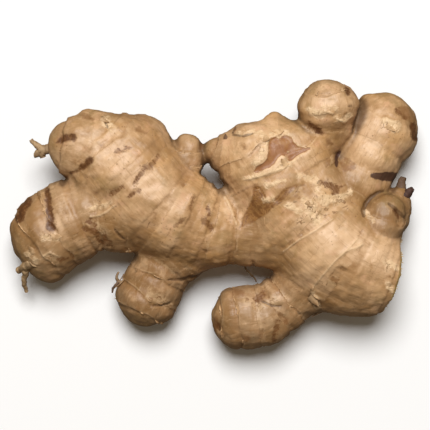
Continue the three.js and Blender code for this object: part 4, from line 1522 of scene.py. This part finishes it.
mesh = bpy.data.meshes.new("skin_scraps")
mesh.from_pydata((np.vstack(scrap_corners) * MM).tolist(), [], scrap_faces)
mesh.attributes.new("dried", "FLOAT", "POINT").data.foreach_set("value", scrap_darkness)
scraps = bpy.data.objects.new("skin_scraps", mesh)
bpy.context.collection.objects.link(scraps)
mesh.materials.append(scrap_finish())
closed(scraps)
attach(scraps, "root")


# Fibres. Where the root was snapped off the plant, the ends of its tough strings stand out of the
# flesh. Geometry Nodes scatter them over the break as short pointed stubs.

STUBS = {
    "Density": 0.75 / MM**2,
    "Length": 0.7 * MM,
    "Radius": 0.17 * MM,
}
STUB_SIDES = 5
STUB_SEED = 5
STUB_SCALES = {2: 0.35, 3: 1.3, 8: 3}
FIBRE_PALE = paint(222, 190, 124)
FIBRE_TAN = paint(180, 140, 82)

start, size = tree_inputs("break_fibre_stubs", STUBS)
broken = fade(measured(start, "flesh"), 0.8, 1.0) * fade(measured(start, "rind"), 0.85, 0.3)
sockets = {"Mesh": size["Geometry"], "Density": size["Density"] * broken, "Seed": STUB_SEED}
spread = start.node("GeometryNodeDistributePointsOnFaces", {}, sockets)
turned = Wire(start.tree, spread.socket.node.outputs["Rotation"])
sockets = {
    "Vertices": STUB_SIDES,
    "Radius Top": size["Radius"] * 0.25,
    "Radius Bottom": size["Radius"],
    "Depth": size["Length"],
}
stub = start.node("GeometryNodeMeshCone", {}, sockets)
scale = start.node("FunctionNodeRandomValue", {"data_type": "FLOAT"}, STUB_SCALES, out=1)
sockets = {"Points": spread, "Instance": stub, "Rotation": turned, "Scale": scale}
stubs = start.node("GeometryNodeInstanceOnPoints", {}, sockets)
fibre_finish = paper_finish("flesh_fibre", FIBRE_PALE, FIBRE_TAN)
fibres = grown("break_fibres", skin.data, start, STUBS, stubs, fibre_finish)
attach(fibres, "root")


# The table and the light: a plain pale surface, and soft studio light from beyond the root's far
# side, as in the photo, with the camera looking straight down on it.

TABLE_COLOR = (0.97, 0.97, 0.97, 1.0)
TABLE_CORNERS = ((-2, -2, 0), (2, -2, 0), (2, 2, 0), (-2, 2, 0))
KEY_PLACE = (-0.05, 1.1, 2.08)
KEY_SIZE = 1.4
KEY_WATTS = 63.0
AIR_COLOR = (1.0, 0.84, 0.62, 1.0)
AIR_STRENGTH = 0.13
LENS = 139.3
EYE = (0.2 * MM, 0.0, EYE_HEIGHT * MM)


def make_table():
    """A matt pale table, which neither lights the root from below nor shows in its gloss."""
    mesh = bpy.data.meshes.new("table")
    mesh.from_pydata(TABLE_CORNERS, [], [(0, 1, 2, 3)])
    table = bpy.data.objects.new("table", mesh)
    bpy.context.collection.objects.link(table)
    material = bpy.data.materials.new("table")
    material.use_nodes = True
    shader = material.node_tree.nodes["Principled BSDF"]
    shader.inputs["Base Color"].default_value = TABLE_COLOR
    shader.inputs["Roughness"].default_value = 0.9
    mesh.materials.append(material)
    table.visible_diffuse = False
    table.visible_glossy = False


def make_lamp(name, place, size, watts):
    """A round soft lamp that faces the root."""
    light = bpy.data.lights.new(name, "AREA")
    light.shape = "DISK"
    light.size = size
    light.energy = watts
    lamp = bpy.data.objects.new(name, light)
    lamp.location = place
    lamp.rotation_euler = (-lamp.location).to_track_quat("-Z", "Y").to_euler()
    bpy.context.collection.objects.link(lamp)


make_table()
make_lamp("key", KEY_PLACE, KEY_SIZE, KEY_WATTS)
world = bpy.data.worlds.new("studio")
world.use_nodes = True
air = world.node_tree.nodes["Background"]
air.inputs["Color"].default_value = AIR_COLOR
air.inputs["Strength"].default_value = AIR_STRENGTH
bpy.context.scene.world = world
bpy.context.scene.view_settings.view_transform = "Standard"

camera = bpy.data.objects.new("camera", bpy.data.cameras.new("camera"))
camera.data.lens = LENS
camera.location = EYE
bpy.context.collection.objects.link(camera)
bpy.context.scene.camera = camera
